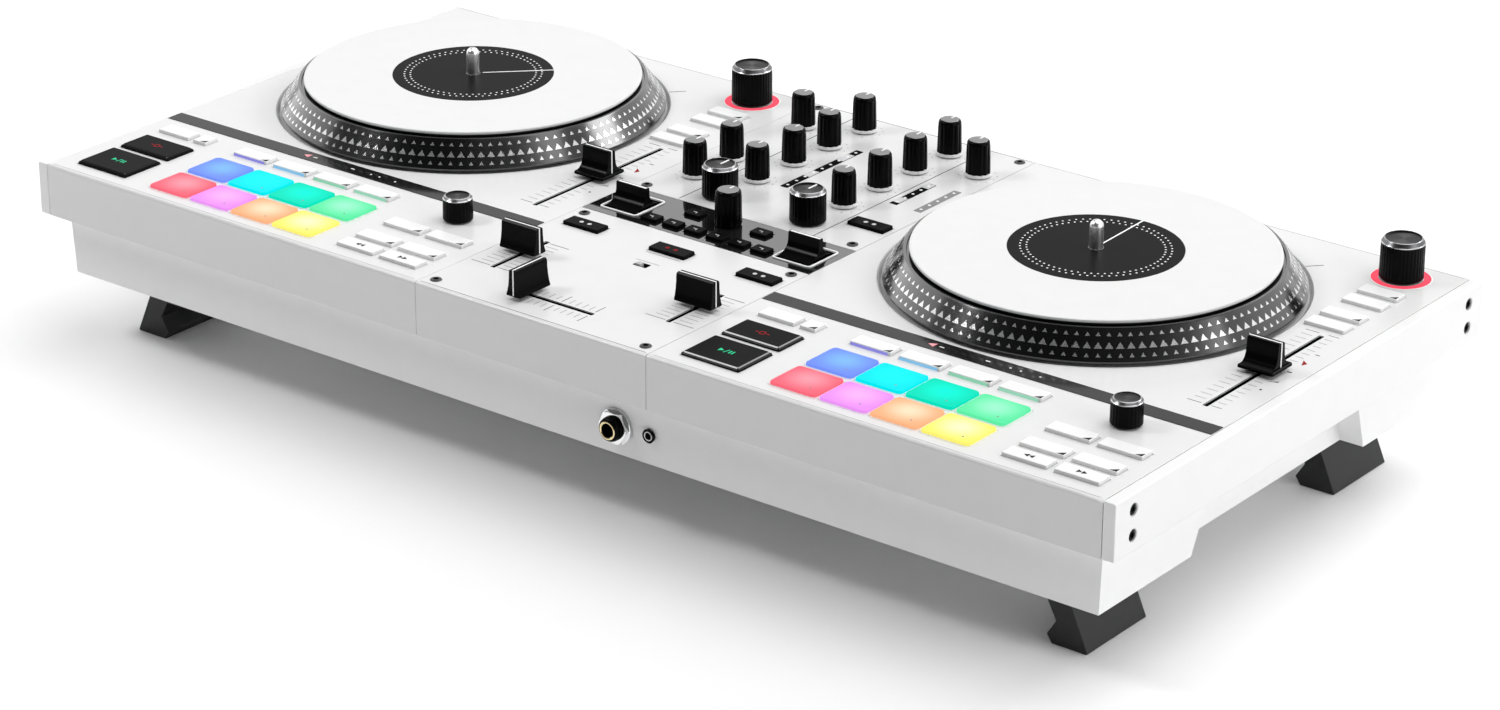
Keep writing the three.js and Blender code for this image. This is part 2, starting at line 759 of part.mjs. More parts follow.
function deckKeyMat() {
  const [x, y] = LOOP_ENCODER;
  const sheets = [
    [[-106, 138], [70, 82]],
    [[80, 138], [10.5, 82]],
    [[134, 139], [10.5, 290]],
    [[109, 139], [228, 290]],
  ];
  const encoderNotch = block([x - 7, x + 7], [y - 7, y + 8], THROUGH);
  return keyMat(DECK_KEYS, sheets, [encoderNotch], KEY_TOP);
}

function mixerKeyMat() {
  const sheets = [
    [[-67.5, 70], [104, 115.6]],
    [[-12, 15], [104, 144]],
    [[-41, 43], [134, 144]],
    [[-26, -15], [134, 162]],
    [[17, 28], [134, 170]],
    [[17, 54], [163.6, 170]],
    [[47.5, 54], [163.6, 206]],
    [[47.5, 71], [195, 206]],
  ];
  return keyMat([...MIXER_KEYS, ...EFFECT_KEYS], sheets, [], KEY_TOP);
}

// Assembly ---------------------------------------------------------------------------------

addNode('bottom_housing', housing(), WHITE_SATIN);
addNode('mixer_plate', mixerPlate(), WHITE_PAINT);
addNode('effects_panel', effectPanel(), BLACK_GLOSS);
addNode('left_cheek', cheek(-1), WHITE_PAINT);
addNode('right_cheek', cheek(1), WHITE_PAINT);
addNode('main_board', mainBoard(), BOARD_GREEN);
addNode('headphone_socket_large', largeSocket(), CHROME, surface, [
  HEADPHONE_LARGE.x,
  WALL_FACE,
  HEADPHONE_LARGE.z,
]);
addNode('headphone_socket_small', smallSocket(), BLACK_PLASTIC, surface, [
  HEADPHONE_SMALL.x,
  WALL_FACE,
  HEADPHONE_SMALL.z,
]);
addNode('rear_connectors', rearConnectors(), BLACK_PLASTIC);
FOOT_Y.forEach((y, row) => {
  [-1, 1].forEach((side) => {
    const name = `${row === 0 ? 'front' : 'rear'}_${side < 0 ? 'left' : 'right'}_foot`;
    addNode(name, foot(side), BLACK_RUBBER, surface, [0, y, 0]);
  });
});

DECK_CENTRES.forEach((centre, i) => {
  const deck = new THREE.Group();
  deck.position.set(centre, 0, 0);
  surface.add(deck);
  const number = i + 1;
  const outer = WIDTH / 2 - CHEEK_THICKNESS;
  const inner = MIXER_HALF_WIDTH + GAP / 2;
  const [x0, x1] = i === 0 ? [-outer, -inner] : [inner, outer];
  const add = (name, body, look, position) =>
    addNode(`${name}_${number}`, body, look, deck, position);
  const hubPlace = [0, PLATTER_Y, 0];
  const keyPlace = ([x, y]) => [x, y, 0];

  add('deck_plate', deckPlate(x0 - centre, x1 - centre), WHITE_PAINT);
  add('motor', motor(), STEEL, hubPlace);
  add('spindle', spindle(), CHROME, hubPlace);
  add('platter', platter(), BLACK_PLASTIC, hubPlace);
  add('slipmat', slipmat(), BLACK_RUBBER, hubPlace);
  add('vinyl', vinyl(), WHITE_PAINT, hubPlace);
  add('play_key', bigKey(PLAY_KEY), BLACK_GLOSS, keyPlace(PLAY_KEY));
  add('cue_key', bigKey(CUE_KEY), BLACK_GLOSS, keyPlace(CUE_KEY));
  add('pads', padMat(), PAD_COLOUR);
  add('deck_keys', deckKeyMat(), WHITE_SATIN);
  add('loop_encoder', knob(LOOP_KNOB), BLACK_PLASTIC, keyPlace(LOOP_ENCODER));
  add('browse_encoder', knob(BROWSE_KNOB), BLACK_PLASTIC, keyPlace(BROWSE_ENCODER));
  add('tempo_fader', tempoCap(), BLACK_PLASTIC, [TEMPO_FADER.x, TEMPO_FADER.y, 0]);
});

addNode('mixer_keys', mixerKeyMat(), BLACK_PLASTIC);
SMALL_KNOBS.forEach(([name, x, y]) => {
  addNode(name, knob(SMALL_KNOB), BLACK_PLASTIC, surface, [x, y, 0]);
});
FILTER_KNOBS.forEach(([name, x, y]) => {
  addNode(name, knob(FILTER_KNOB), BLACK_PLASTIC, surface, [x, y, 0]);
});
addNode('effects_knob', knob(TALL_KNOB), BLACK_PLASTIC, surface, [...EFFECT_KNOB, 0]);
PADDLES.forEach(([x, y], i) => {
  addNode(`effects_paddle_${i + 1}`, paddle(), BLACK_PLASTIC, surface, [x, y, 0]);
});
VOLUME_FADERS.forEach(({ x, rest }, i) => {
  addNode(`volume_fader_${i + 1}`, volumeCap(), BLACK_PLASTIC, surface, [x, rest, 0]);
});
addNode('crossfader', volumeCap().rotate([0, 0, 90]), BLACK_PLASTIC, surface, [
  CROSSFADER.rest,
  CROSSFADER.y,
  0,
]);

export default group;
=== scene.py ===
"""Visual model of a two-deck DJ controller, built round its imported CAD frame.

Local sizes are in millimetres in the surface frame: x from the middle of the object, y back
from its front edge, z up from its top surface. A deck's own pieces take x from its platter.
"""
import json
import math
from contextlib import contextmanager

import bmesh
import bpy
from mathutils import Matrix, Vector

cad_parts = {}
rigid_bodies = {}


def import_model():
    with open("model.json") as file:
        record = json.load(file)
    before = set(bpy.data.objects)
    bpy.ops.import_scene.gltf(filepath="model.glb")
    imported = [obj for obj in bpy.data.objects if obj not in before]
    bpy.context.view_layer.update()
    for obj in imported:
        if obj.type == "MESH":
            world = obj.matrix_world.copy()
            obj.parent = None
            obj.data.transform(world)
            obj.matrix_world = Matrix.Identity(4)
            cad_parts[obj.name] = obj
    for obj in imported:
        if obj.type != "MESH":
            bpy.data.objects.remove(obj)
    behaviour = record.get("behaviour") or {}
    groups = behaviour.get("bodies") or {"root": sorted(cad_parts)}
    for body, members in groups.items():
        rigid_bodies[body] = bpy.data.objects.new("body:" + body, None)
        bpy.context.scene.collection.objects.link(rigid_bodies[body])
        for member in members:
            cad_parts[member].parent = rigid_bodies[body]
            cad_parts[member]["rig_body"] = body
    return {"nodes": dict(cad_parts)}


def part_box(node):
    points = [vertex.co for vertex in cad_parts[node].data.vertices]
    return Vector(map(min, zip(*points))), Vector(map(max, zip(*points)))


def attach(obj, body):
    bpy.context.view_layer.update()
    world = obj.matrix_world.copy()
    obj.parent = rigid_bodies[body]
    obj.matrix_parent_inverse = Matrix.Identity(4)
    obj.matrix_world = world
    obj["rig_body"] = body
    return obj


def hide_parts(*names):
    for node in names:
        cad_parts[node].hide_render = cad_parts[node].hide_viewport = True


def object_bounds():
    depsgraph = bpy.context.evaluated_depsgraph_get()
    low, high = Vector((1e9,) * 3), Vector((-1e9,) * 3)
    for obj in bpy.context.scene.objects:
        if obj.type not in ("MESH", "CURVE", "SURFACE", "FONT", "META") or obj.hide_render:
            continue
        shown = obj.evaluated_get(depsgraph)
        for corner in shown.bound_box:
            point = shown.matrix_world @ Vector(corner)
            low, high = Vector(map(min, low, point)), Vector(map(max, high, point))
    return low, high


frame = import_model()
CAD_LOW, CAD_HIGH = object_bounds()

MM = 0.001
TURN = 2 * math.pi
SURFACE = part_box("mixer_plate")[1].z
TO_ROW = Matrix.Translation((0, CAD_LOW.y, SURFACE)) @ Matrix.Scale(MM, 4)
TO_LOCAL = TO_ROW.inverted()
DECKS = (1, 2)


# Places read from the frame ---


def local_box(node):
    """A CAD node's lowest and highest corners in the surface frame, in millimetres."""
    low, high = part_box(node)
    return TO_LOCAL @ low, TO_LOCAL @ high


def middle(node):
    low, high = local_box(node)
    return (low + high) / 2


def flat_tops(node):
    """The flat areas at a node's highest level, as (x, y, width, depth), front row first."""
    bm = bmesh.new()
    bm.from_mesh(frame["nodes"][node].data)
    bm.transform(TO_LOCAL)
    bmesh.ops.remove_doubles(bm, verts=bm.verts, dist=0.01)
    top = max(v.co.z for v in bm.verts)
    waiting = {f for f in bm.faces if all(abs(v.co.z - top) < 0.05 for v in f.verts)}
    areas = []
    while waiting:
        stack = [waiting.pop()]
        xs, ys = [], []
        while stack:
            face = stack.pop()
            xs += [v.co.x for v in face.verts]
            ys += [v.co.y for v in face.verts]
            near = {g for e in face.edges for g in e.link_faces if g in waiting}
            waiting -= near
            stack += near
        x, y = (min(xs) + max(xs)) / 2, (min(ys) + max(ys)) / 2
        areas.append((x, y, max(xs) - min(xs), max(ys) - min(ys)))
    bm.free()
    return sorted(areas, key=lambda a: (round(a[1]), a[0])), top


DECK_X = {n: middle(f"vinyl_{n}").x for n in DECKS}
PLATTER_Y = middle("vinyl_1").y
DEPTH = (CAD_HIGH.y - CAD_LOW.y) / MM
HALF_WIDTH = (CAD_HIGH.x - CAD_LOW.x) / MM / 2
GROUND = -SURFACE / MM


# Materials ---


def fill(node, **sockets):
    """Sets a shader node's sockets, or links the ones whose value is another node's output."""
    for name, value in sockets.items():
        socket = node.inputs[name.replace("_", " ")]
        if isinstance(value, bpy.types.NodeSocket):
            node.id_data.links.new(value, socket)
        else:
            socket.default_value = value
    return node


def add_node(tree, kind, settings=(), **sockets):
    """A new shader node, with its settings made before its sockets are filled."""
    node = tree.nodes.new(f"ShaderNode{kind}")
    for name, value in dict(settings).items():
        setattr(node, name, value)
    return fill(node, **sockets)


def material(name, colour, roughness, metallic=0.0, tone=0.03, grain=900.0, bump=0.01, spread=0.04,
             **shader):
    """A surface with slight changes of tone and gloss, and a fine grain in its relief."""
    mat = bpy.data.materials.new(name)
    mat.use_nodes = True
    tree = mat.node_tree
    where = add_node(tree, "TexCoord").outputs["Object"]
    broad = add_node(tree, "TexNoise", Vector=where, Scale=grain / 12, Detail=3.0).outputs["Fac"]
    fine = add_node(tree, "TexNoise", Vector=where, Scale=grain, Detail=2.0).outputs["Fac"]
    ramp = add_node(tree, "ValToRGB", Fac=broad)
    for stop, place, share in zip(ramp.color_ramp.elements, (0.3, 0.7), (1 - tone, 1 + tone)):
        stop.position = place
        stop.color = [min(1, c * share) for c in colour] + [1]
    gloss = add_node(tree, "MapRange", Value=broad, To_Min=max(0.02, roughness - spread),
                     To_Max=min(1.0, roughness + spread))
    relief = add_node(tree, "Bump", Strength=0.4, Distance=bump * MM, Height=fine)
    fill(tree.nodes["Principled BSDF"], Metallic=metallic, Base_Color=ramp.outputs["Color"],
         Roughness=gloss.outputs["Result"], Normal=relief.outputs["Normal"], **shader)
    return mat


def black(name, depth, roughness, gloss, **options):
    """A black plastic with a weak reflection: gloss is the shader's specular level."""
    return material(name, (depth, depth, depth * 1.05), roughness, Specular_IOR_Level=gloss, **options)


def grooved(mat, centre_x, pitch):
    """Adds fine record grooves, centred on a platter, to a material's relief."""
    tree = mat.node_tree
    where = tree.nodes["Texture Coordinate"].outputs["Object"]
    centre = TO_ROW @ Vector((centre_x, PLATTER_Y, 0))
    shift = add_node(tree, "Mapping", Vector=where, Location=-centre)
    rings = add_node(tree, "TexWave", {"wave_type": "RINGS", "rings_direction": "Z"},
                     Vector=shift.outputs["Vector"], Scale=1 / (pitch * MM) / 20)
    relief = add_node(tree, "Bump", Strength=0.12, Distance=0.02 * MM, Height=rings.outputs["Fac"],
                      Normal=tree.nodes["Bump"].outputs["Normal"])
    fill(tree.nodes["Principled BSDF"], Normal=relief.outputs["Normal"])
    return mat


def turned(mat):
    """Spins a material's brushing round the upright axis of each piece."""
    tangent = add_node(mat.node_tree, "Tangent", {"direction_type": "RADIAL", "axis": "Z"})
    fill(mat.node_tree.nodes["Principled BSDF"], Tangent=tangent.outputs["Tangent"])
    return mat


def display(*levels):
    """Turns display levels from 0 to 255 into linear light."""
    shares = [level / 255 for level in levels]
    return [s / 12.92 if s <= 0.04045 else ((s + 0.055) / 1.055) ** 2.4 for s in shares]


def glow(name, edge, core, strength=0.9, reach=0.62):
    """Lit translucent silicone: brighter and paler in the middle of each piece."""
    edge, core = display(*edge), display(*core)
    mat = material(name, [c * 0.15 for c in edge], 0.45, tone=0.02, Specular_IOR_Level=0.03)
    tree = mat.node_tree
    where = tree.nodes["Texture Coordinate"].outputs["Generated"]
    centred = add_node(tree, "Mapping", Vector=where, Scale=(1, 1, 0), Location=(-0.5, -0.56, 0))
    length = add_node(tree, "VectorMath", {"operation": "LENGTH"}, Vector=centred.outputs["Vector"])
    fade = add_node(tree, "MapRange", {"interpolation_type": "SMOOTHSTEP"}, From_Max=reach,
                    Value=length.outputs["Value"])
    mix = add_node(tree, "Mix", {"data_type": "RGBA"}, A=(*core, 1), B=(*edge, 1),
                   Factor=fade.outputs["Result"])
    fill(tree.nodes["Principled BSDF"], Emission_Color=mix.outputs["Result"], Emission_Strength=strength)
    return mat


# One white finish in three levels, as painted light: the housing is lightened against the shade under the
# upper panels, the cheeks are lightened to match it at the sides, and the tops are darkened against their
# strong light.
PAINT = material("white_paint", (0.70, 0.70, 0.70), 0.24, bump=0.006, tone=0.008)
CHEEK_WHITE_PAINTED_LIGHT = material("cheek_white_painted_light", (0.78, 0.78, 0.78), 0.3, bump=0.006, tone=0.008)
SHELL_WITH_PAINTED_LIGHT = material("white_shell_painted_light", (0.84, 0.84, 0.84), 0.4, bump=0.012, tone=0.01, grain=1400)
# Grey for bezels, the switch lever, meter segments and key marks; on the platter wells' surround it is
# painted shade.
GREY_AND_WELL_SHADE = material("grey_and_painted_well_shade", (0.56, 0.56, 0.57), 0.3, tone=0.01)
KEY_WHITE = material("key_white", (0.80, 0.80, 0.80), 0.3, bump=0.004, tone=0.008)
SKIRT_WHITE = material("skirt_white", (0.82, 0.82, 0.82), 0.3, tone=0.01)
SATIN_BLACK = black("satin_black", 0.0015, 0.2, 0.06, bump=0.008, grain=1600)
GRIP_BLACK = black("grip_black", 0.0015, 0.22, 0.06, bump=0.01, grain=2200)
GLOSS_BLACK = black("gloss_black", 0.006, 0.1, 0.25, bump=0.002)
PANEL_BLACK = black("panel_black", 0.008, 0.05, 0.5, bump=0.001, spread=0.02, Coat_Weight=1.0)
BEVEL_BLACK = black("bevel_black", 0.006, 0.12, 0.5, bump=0.002)
KEY_BLACK = black("key_black", 0.004, 0.3, 0.02, bump=0.004)
CHARCOAL = black("charcoal_key", 0.008, 0.4, 0.025, bump=0.006)
PLATTER_BLACK = black("platter_black", 0.002, 0.16, 0.9, grain=2600, bump=0.004, Coat_Weight=0.8,
                      Coat_Roughness=0.14)
STROBE = material("strobe_marks", (0.85, 0.85, 0.85), 0.2, tone=0.02, metallic=0.85)
FELT = material("slipmat_felt", (0.010, 0.010, 0.010), 0.9, tone=0.3, grain=2600, bump=0.2)
LABEL = black("record_label", 0.010, 0.35, 0.02, tone=0.06, bump=0.003)
CHROME = material("chrome", (0.90, 0.90, 0.91), 0.1, metallic=1.0, bump=0.001, spread=0.02)
SATIN_CHROME = material("satin_chrome", (0.92, 0.92, 0.93), 0.3, metallic=1.0, bump=0.002)
# Silver metal for the small socket's bush; on the wide knobs' edge bands it is painted highlight, lighter
# than the chamfer's metal.
SILVER_AND_EDGE_HIGHLIGHT = material("turned_silver_and_painted_highlight", (0.50, 0.50, 0.51), 0.24, metallic=1.0, grain=1800, bump=0.004)
CAP_GREY = material("knob_cap_grey", (0.30, 0.30, 0.305), 0.3, metallic=0.9, grain=1800, bump=0.004)
CHAMFER = material("dark_turned_metal", (0.16, 0.16, 0.165), 0.3, metallic=1.0, grain=1800, bump=0.004)
DISH = turned(material("brushed_dish", (0.045, 0.045, 0.047), 0.32, metallic=1.0, grain=2400, bump=0.004,
                       Anisotropic=0.85))
GOLD = material("gold_plate", (0.88, 0.74, 0.44), 0.16, metallic=1.0, bump=0.002)
STEEL = material("motor_steel", (0.45, 0.46, 0.47), 0.38, metallic=1.0, grain=700, tone=0.08)
BOARD = material("solder_mask", (0.03, 0.13, 0.06), 0.35, tone=0.4, grain=500, bump=0.03)
RUBBER = black("foot_rubber", 0.02, 0.36, 0.3, tone=0.1, grain=1500, bump=0.04)
SOLE = black("foot_sole", 0.012, 0.8, 0.3, tone=0.15, grain=900, bump=0.06)
SCREW_METAL = material("screw_metal", (0.10, 0.10, 0.102), 0.34, metallic=0.9, grain=1500)
PRINT_BLACK = black("print_black", 0.010, 0.5, 0.1, tone=0.05)
PRINT_GREY = material("print_grey", (0.22, 0.22, 0.225), 0.5, tone=0.05)
PRINT_WHITE = material("print_white", (0.88, 0.88, 0.88), 0.4, tone=0.02)
# Black for the meter windows and the switch well, and painted shade inside fader slots, screw sockets and
# socket bores.
BLACK_AND_HOLE_SHADE = black("black_and_painted_hole_shade", 0.002, 0.8, 0.05, tone=0.1)
LAMP_RED = glow("lamp_red", (245, 60, 85), (250, 95, 115), 1.0, reach=1.0)
LAMP_PINK = glow("lamp_pink", (240, 150, 160), (255, 190, 195))
LAMP_GREEN = glow("lamp_green", (20, 200, 140), (60, 220, 160))
LAMP_DIM_RED = glow("lamp_dim_red", (135, 22, 26), (165, 34, 38))

# Pad lights, left to right in the front row and then in the back row, and mode key lights.
PAD_LIGHTS = [
    glow("pad_red", (250, 108, 126), (255, 166, 180)),
    glow("pad_magenta", (238, 150, 248), (255, 188, 255)),
    glow("pad_orange", (255, 182, 134), (255, 238, 204)),
    glow("pad_yellow", (255, 244, 115), (255, 255, 212)),
    glow("pad_blue", (118, 148, 250), (134, 196, 255)),
    glow("pad_cyan", (0, 235, 240), (20, 255, 255)),
    glow("pad_teal", (0, 226, 190), (0, 255, 226)),
    glow("pad_green", (96, 238, 168), (168, 255, 214)),
]
MODE_LIGHTS = [
    glow("mode_violet", (140, 136, 222), (175, 172, 240)),
    glow("mode_blue", (132, 192, 232), (170, 220, 245)),
    glow("mode_green", (138, 208, 174), (180, 230, 205)),
    glow("mode_mint", (150, 214, 184), (190, 235, 215)),
]


# Mesh tools ---


def loft(bm, loops, slot=0, ends=(True, True), closed=False):
    """Joins closed loops of points, each with the same count, by bands of faces."""
    rings = [[bm.verts.new(p) for p in loop] for loop in loops]
    pairs = list(zip(rings, rings[1:]))
    if closed:
        pairs.append((rings[-1], rings[0]))
        ends = (False, False)
    faces = []
    for low, high in pairs:
        for i in range(len(low)):
            j = (i + 1) % len(low)
            faces.append(bm.faces.new((low[i], low[j], high[j], high[i])))
    if ends[0]:
        faces.append(bm.faces.new(rings[0][::-1]))
    if ends[1]:
        faces.append(bm.faces.new(rings[-1]))
    for face in faces:
        face.material_index = slot
    return faces


def levelled(outlines):
    """Loops for a loft, from pairs of a height and an (x, y) outline."""
    return [[(u, v, z) for u, v in outline] for z, outline in outlines]


def circle(radius, segments, x=0.0, y=0.0):
    angles = [i / segments * TURN for i in range(segments)]
    return [(x + radius * math.cos(a), y + radius * math.sin(a)) for a in angles]


def rounded_rect(x, y, width, depth, radius, steps=4):
    points = []
    half_x, half_y = width / 2 - radius, depth / 2 - radius
    for quarter, (sx, sy) in enumerate(((1, 1), (-1, 1), (-1, -1), (1, -1))):
        for step in range(steps + 1):
            angle = (quarter + step / steps) * math.pi / 2
            u = x + sx * half_x + radius * math.cos(angle)
            v = y + sy * half_y + radius * math.sin(angle)
            points.append((u, v))
    return points


def slab(bm, x, y, width, depth, z0, z1, corner=0.4, edge=0.25, slot=0, steps=3):
    """A block with rounded upright corners and a rounded upper edge."""
    levels = [(z0, 0)]
    for step in range(steps + 1):
        angle = step / steps * math.pi / 2
        levels.append((z1 - edge + edge * math.sin(angle), edge * (1 - math.cos(angle))))
    shapes = []
    for z, inset in levels:
        radius = max(corner - inset, 0.05)
        shapes.append((z, rounded_rect(x, y, width - 2 * inset, depth - 2 * inset, radius)))
    loft(bm, levelled(shapes), slot)


def border(bm, x, y, width, depth, band, z0, z1, corner=1.0, edge=0.0):
    """A frame of an even width round a rounded rectangle, given its inner size."""
    section = [(0, z0), (band, z0), (band, z1 - edge)]
    if edge:
        section += [(band - edge, z1), (edge, z1)]
    section.append((0, z1 - edge))
    shapes = [(z, rounded_rect(x, y, width + 2 * out, depth + 2 * out, corner + out)) for out, z in section]
    loft(bm, levelled(shapes), closed=True)


def lathe(bm, profile, segments=64, x=0.0, y=0.0, slot=0):
    """Revolves a closed (radius, z) outline, in order, into a closed solid."""
    rings = []
    for r, z in profile:
        points = circle(r, segments, x, y) if r else [(x, y)]
        rings.append([bm.verts.new((u, v, z)) for u, v in points])
    following = rings[1:] + rings[:1] if profile[0][0] else rings[1:]
    for low, high in zip(rings, following):
        for i in range(segments):
            j = (i + 1) % segments
            corners = [low[i % len(low)], low[j % len(low)], high[j % len(high)], high[i % len(high)]]
            unique = list(dict.fromkeys(corners))
            if len(unique) > 2:
                bm.faces.new(unique).material_index = slot


def disc(bm, x, y, radius, z0, z1, segments=24, slot=0, edge=0.1):
    lathe(bm, [(0, z0), (radius, z0), (radius, z1 - edge), (radius - edge, z1), (0, z1)],
          segments, x, y, slot)


def prism(bm, outline, z0, z1, slot=0):
    """An upright prism from an anticlockwise (x, y) outline."""
    loft(bm, levelled([(z0, outline), (z1, outline)]), slot)


def along_x(bm, outline, half, slot=0, bevel=0.0, segments=2):
    """A prism along x, from -half to half, of an outline of (y, z), with its edges rounded."""
    faces = loft(bm, [[(x, u, v) for u, v in outline] for x in (-half, half)], slot)
    edges = list({e for f in faces for e in f.edges if e.calc_face_angle(0) > 0.3})
    bmesh.ops.bevel(bm, geom=edges, offset=bevel, segments=segments, profile=0.5,
                    affect="EDGES", clamp_overlap=True, material=-1)


def mirrored(right_half):
    return right_half + [(-u, v) for u, v in reversed(right_half)]


def merge(target, source, place=None):
    """Adds one bmesh, moved to its place, to another."""
    if place is not None:
        source.transform(place)
    mesh = bpy.data.meshes.new("scratch")
    source.to_mesh(mesh)
    source.free()
    target.from_mesh(mesh)
    bpy.data.meshes.remove(mesh)


def in_scene(name, data):
    """An object of the given data, linked to the scene."""
    obj = bpy.data.objects.new(name, data)
    bpy.context.scene.collection.objects.link(obj)
    return obj


def piece(name, slot, bm, materials, node=None, body="chassis", at=(0, 0, 0), sharp=32, turn=None):
    """Makes an object of a mesh in the surface frame, which rides on a body or stands for a node."""
    if turn is not None:
        bm.transform(turn)
    bm.transform(TO_ROW @ Matrix.Translation(at))
    bmesh.ops.recalc_face_normals(bm, faces=bm.faces)
    mesh = bpy.data.meshes.new(name)
    bm.to_mesh(mesh)
    bm.free()
    for mat in materials:
        mesh.materials.append(mat)
    mesh.shade_smooth()
    mesh.set_sharp_from_angle(angle=math.radians(sharp))
    obj = in_scene(name, mesh)
    obj.modifiers.new("even_normals", "WEIGHTED_NORMAL").keep_sharp = True
    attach(obj, frame["nodes"][node]["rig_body"] if node else body)
    if node:
        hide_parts(node)
    return obj


@contextmanager
def drawn(name, slot, *materials, **options):
    """A mesh to draw on in the surface frame, which is then made into a piece."""
    bm = bmesh.new()
    yield bm
    piece(name, slot, bm, materials, **options)


SHARP_ANGLE = 28


def round_bends(bm, radius):
    """Rounds a bent sheet over its front and its rear edge."""
    def on_bend(edge):
        ends = {round(v.co.y, 1) for v in edge.verts}
        level = all(abs(v.co.z) < 0.01 for v in edge.verts)
        return level and ends in ({0.0}, {round(DEPTH, 1)})

    bmesh.ops.bevel(bm, geom=[e for e in bm.edges if on_bend(e)], offset=radius, segments=6,
                    profile=0.5, affect="EDGES")


def refined(node, mat, slot, width, segments=2, bend=0.0):
    """A CAD piece with its flat faces joined up and its edges rounded."""
    bm = bmesh.new()
    bm.from_mesh(frame["nodes"][node].data)
    bm.transform(TO_LOCAL)
    bmesh.ops.remove_doubles(bm, verts=bm.verts, dist=0.005)
    bmesh.ops.dissolve_limit(bm, angle_limit=math.radians(0.4), verts=bm.verts, edges=bm.edges)
    if bend:
        round_bends(bm, bend)
    obj = piece(f"{node}_finished", slot, bm, [mat], node, sharp=SHARP_ANGLE)
    round_off = obj.modifiers.new("rounded_edges", "BEVEL")
    round_off.width = width * MM
    round_off.segments = segments
    round_off.limit_method = "ANGLE"
    round_off.angle_limit = math.radians(SHARP_ANGLE)
    round_off.use_clamp_overlap = True
    obj.modifiers.move(1, 0)


# Casing ---

PLATE_BEND = 1.8
SOLE_INSET = 10
SOLE_WIDTH = 15
SOLE_MARGIN = 5


def casing():
    for node in ("deck_plate_1", "deck_plate_2", "mixer_plate"):
        refined(node, PAINT, "white_paint", 0.25, bend=PLATE_BEND)
    for node in ("left_cheek", "right_cheek"):
        refined(node, CHEEK_WHITE_PAINTED_LIGHT, "white_paint", 0.45)
    refined("bottom_housing", SHELL_WITH_PAINTED_LIGHT, "white_plastic", 0.5, segments=3)
    refined("effects_panel", PANEL_BLACK, "black_gloss", 0.15)


def feet():
    for row in ("front", "rear"):
        for side, sign in (("left", -1), ("right", 1)):
            node = f"{row}_{side}_foot"
            refined(node, RUBBER, "black_rubber", 0.7, segments=3)
            low, high = local_box(node)
            x = sign * (max(abs(low.x), abs(high.x)) - SOLE_INSET)
            with drawn(f"{node}_sole", "black_rubber", SOLE) as bm:
                slab(bm, x, (low.y + high.y) / 2, SOLE_WIDTH, high.y - low.y - SOLE_MARGIN,
                     GROUND + 0.01, GROUND + 0.5, corner=1.5)


SCREW_X = (-67.4, 67.4)
SCREW_Y = (8.3, 123.4, 174.7, 324.0)
CHEEK_SCREW_Y = (15.2, DEPTH - 13.2)
CHEEK_SCREW_Z = (-8.0, -20.8)
CHEEK_SCREW_INSET = 1.5


def hexagon(flat_radius, sides, limit=math.inf):
    """A hexagon as many points, with its corners cut where they pass the limit."""
    points = []
    for i in range(sides):
        angle = i / sides * TURN
        r = min(flat_radius / math.cos(angle % (math.pi / 3) - math.pi / 6), limit)
        points.append((r * math.cos(angle), r * math.sin(angle)))
    return points


def hex_screw(radius, rise, depth, sides=24):
    """A button head with a hexagon socket, standing on z = 0."""
    bm = bmesh.new()
    head = [(radius, -0.1), (radius, rise * 0.35), (radius * 0.93, rise * 0.75), (radius * 0.75, rise)]
    opening = hexagon(radius * 0.46, sides)
    outlines = [(z, circle(r, sides)) for r, z in head] + [(rise, opening)]
    loft(bm, levelled(outlines), 0, (True, False))
    # The socket's walls take the second material, black: painted shade inside the socket.
    loft(bm, levelled([(rise, opening), (rise - depth, opening)]), 1, (False, True))
    bmesh.ops.remove_doubles(bm, verts=bm.verts, dist=0.001)
    return bm


def screws():
    with drawn("panel_screws", "steel", SCREW_METAL, BLACK_AND_HOLE_SHADE) as bm:
        for x in SCREW_X:
            for y in SCREW_Y:
                merge(bm, hex_screw(3.0, 0.7, 0.6), Matrix.Translation((x, y, 0)))
    with drawn("cheek_screws", "steel", GRIP_BLACK, BLACK_AND_HOLE_SHADE) as bm:
        for side in (-1, 1):
            outward = Matrix.Rotation(side * math.pi / 2, 4, "Y")
            for y in CHEEK_SCREW_Y:
                for z in CHEEK_SCREW_Z:
                    place = Matrix.Translation((side * (HALF_WIDTH - CHEEK_SCREW_INSET), y, z))
                    merge(bm, hex_screw(2.9, 0.9, 0.7), place @ outward)


# Prints and lamps on the panels ---

PRINT_DEPTH = 0.05
PRINT_LIFT = 0.04
STRIP_LIFT = 0.36
TICK = 0.4
SLOT_WIDTH = 2.2
SLOT_EXTRA = 4.8
LINER = 0.32
LINER_LEVELS = (-7.5, -0.35)
FOLD_LINE_INSET = 2.5


def mark(bm, points, slot=0, top=PRINT_LIFT):
    """A thin raised shape. A panel's marks reach just below the panel's surface."""
    prism(bm, points, -PRINT_DEPTH if top < 1 else top - 0.1, top, slot)


def line(bm, x, y, width, depth, slot=0, top=PRINT_LIFT):
    half_x, half_y = width / 2, depth / 2
    corners = [(x - half_x, y - half_y), (x + half_x, y - half_y),
               (x + half_x, y + half_y), (x - half_x, y + half_y)]
    mark(bm, corners, slot, top)


def slot_shade(bm, x, y, travel, along="Y"):
    """Black walls inside a fader's slot and a black rim round its edge, painted shade for the slot's dark
    inside; open in the middle for the fader's stem.
    """
    length = travel + SLOT_EXTRA
    size = (SLOT_WIDTH, length) if along == "Y" else (length, SLOT_WIDTH)
    inner = [s - 2 * LINER for s in size]
    border(bm, x, y, *inner, LINER - 0.02, *LINER_LEVELS, corner=0.05)
    border(bm, x, y, *size, 0.3, -PRINT_DEPTH, PRINT_LIFT, corner=0.2)


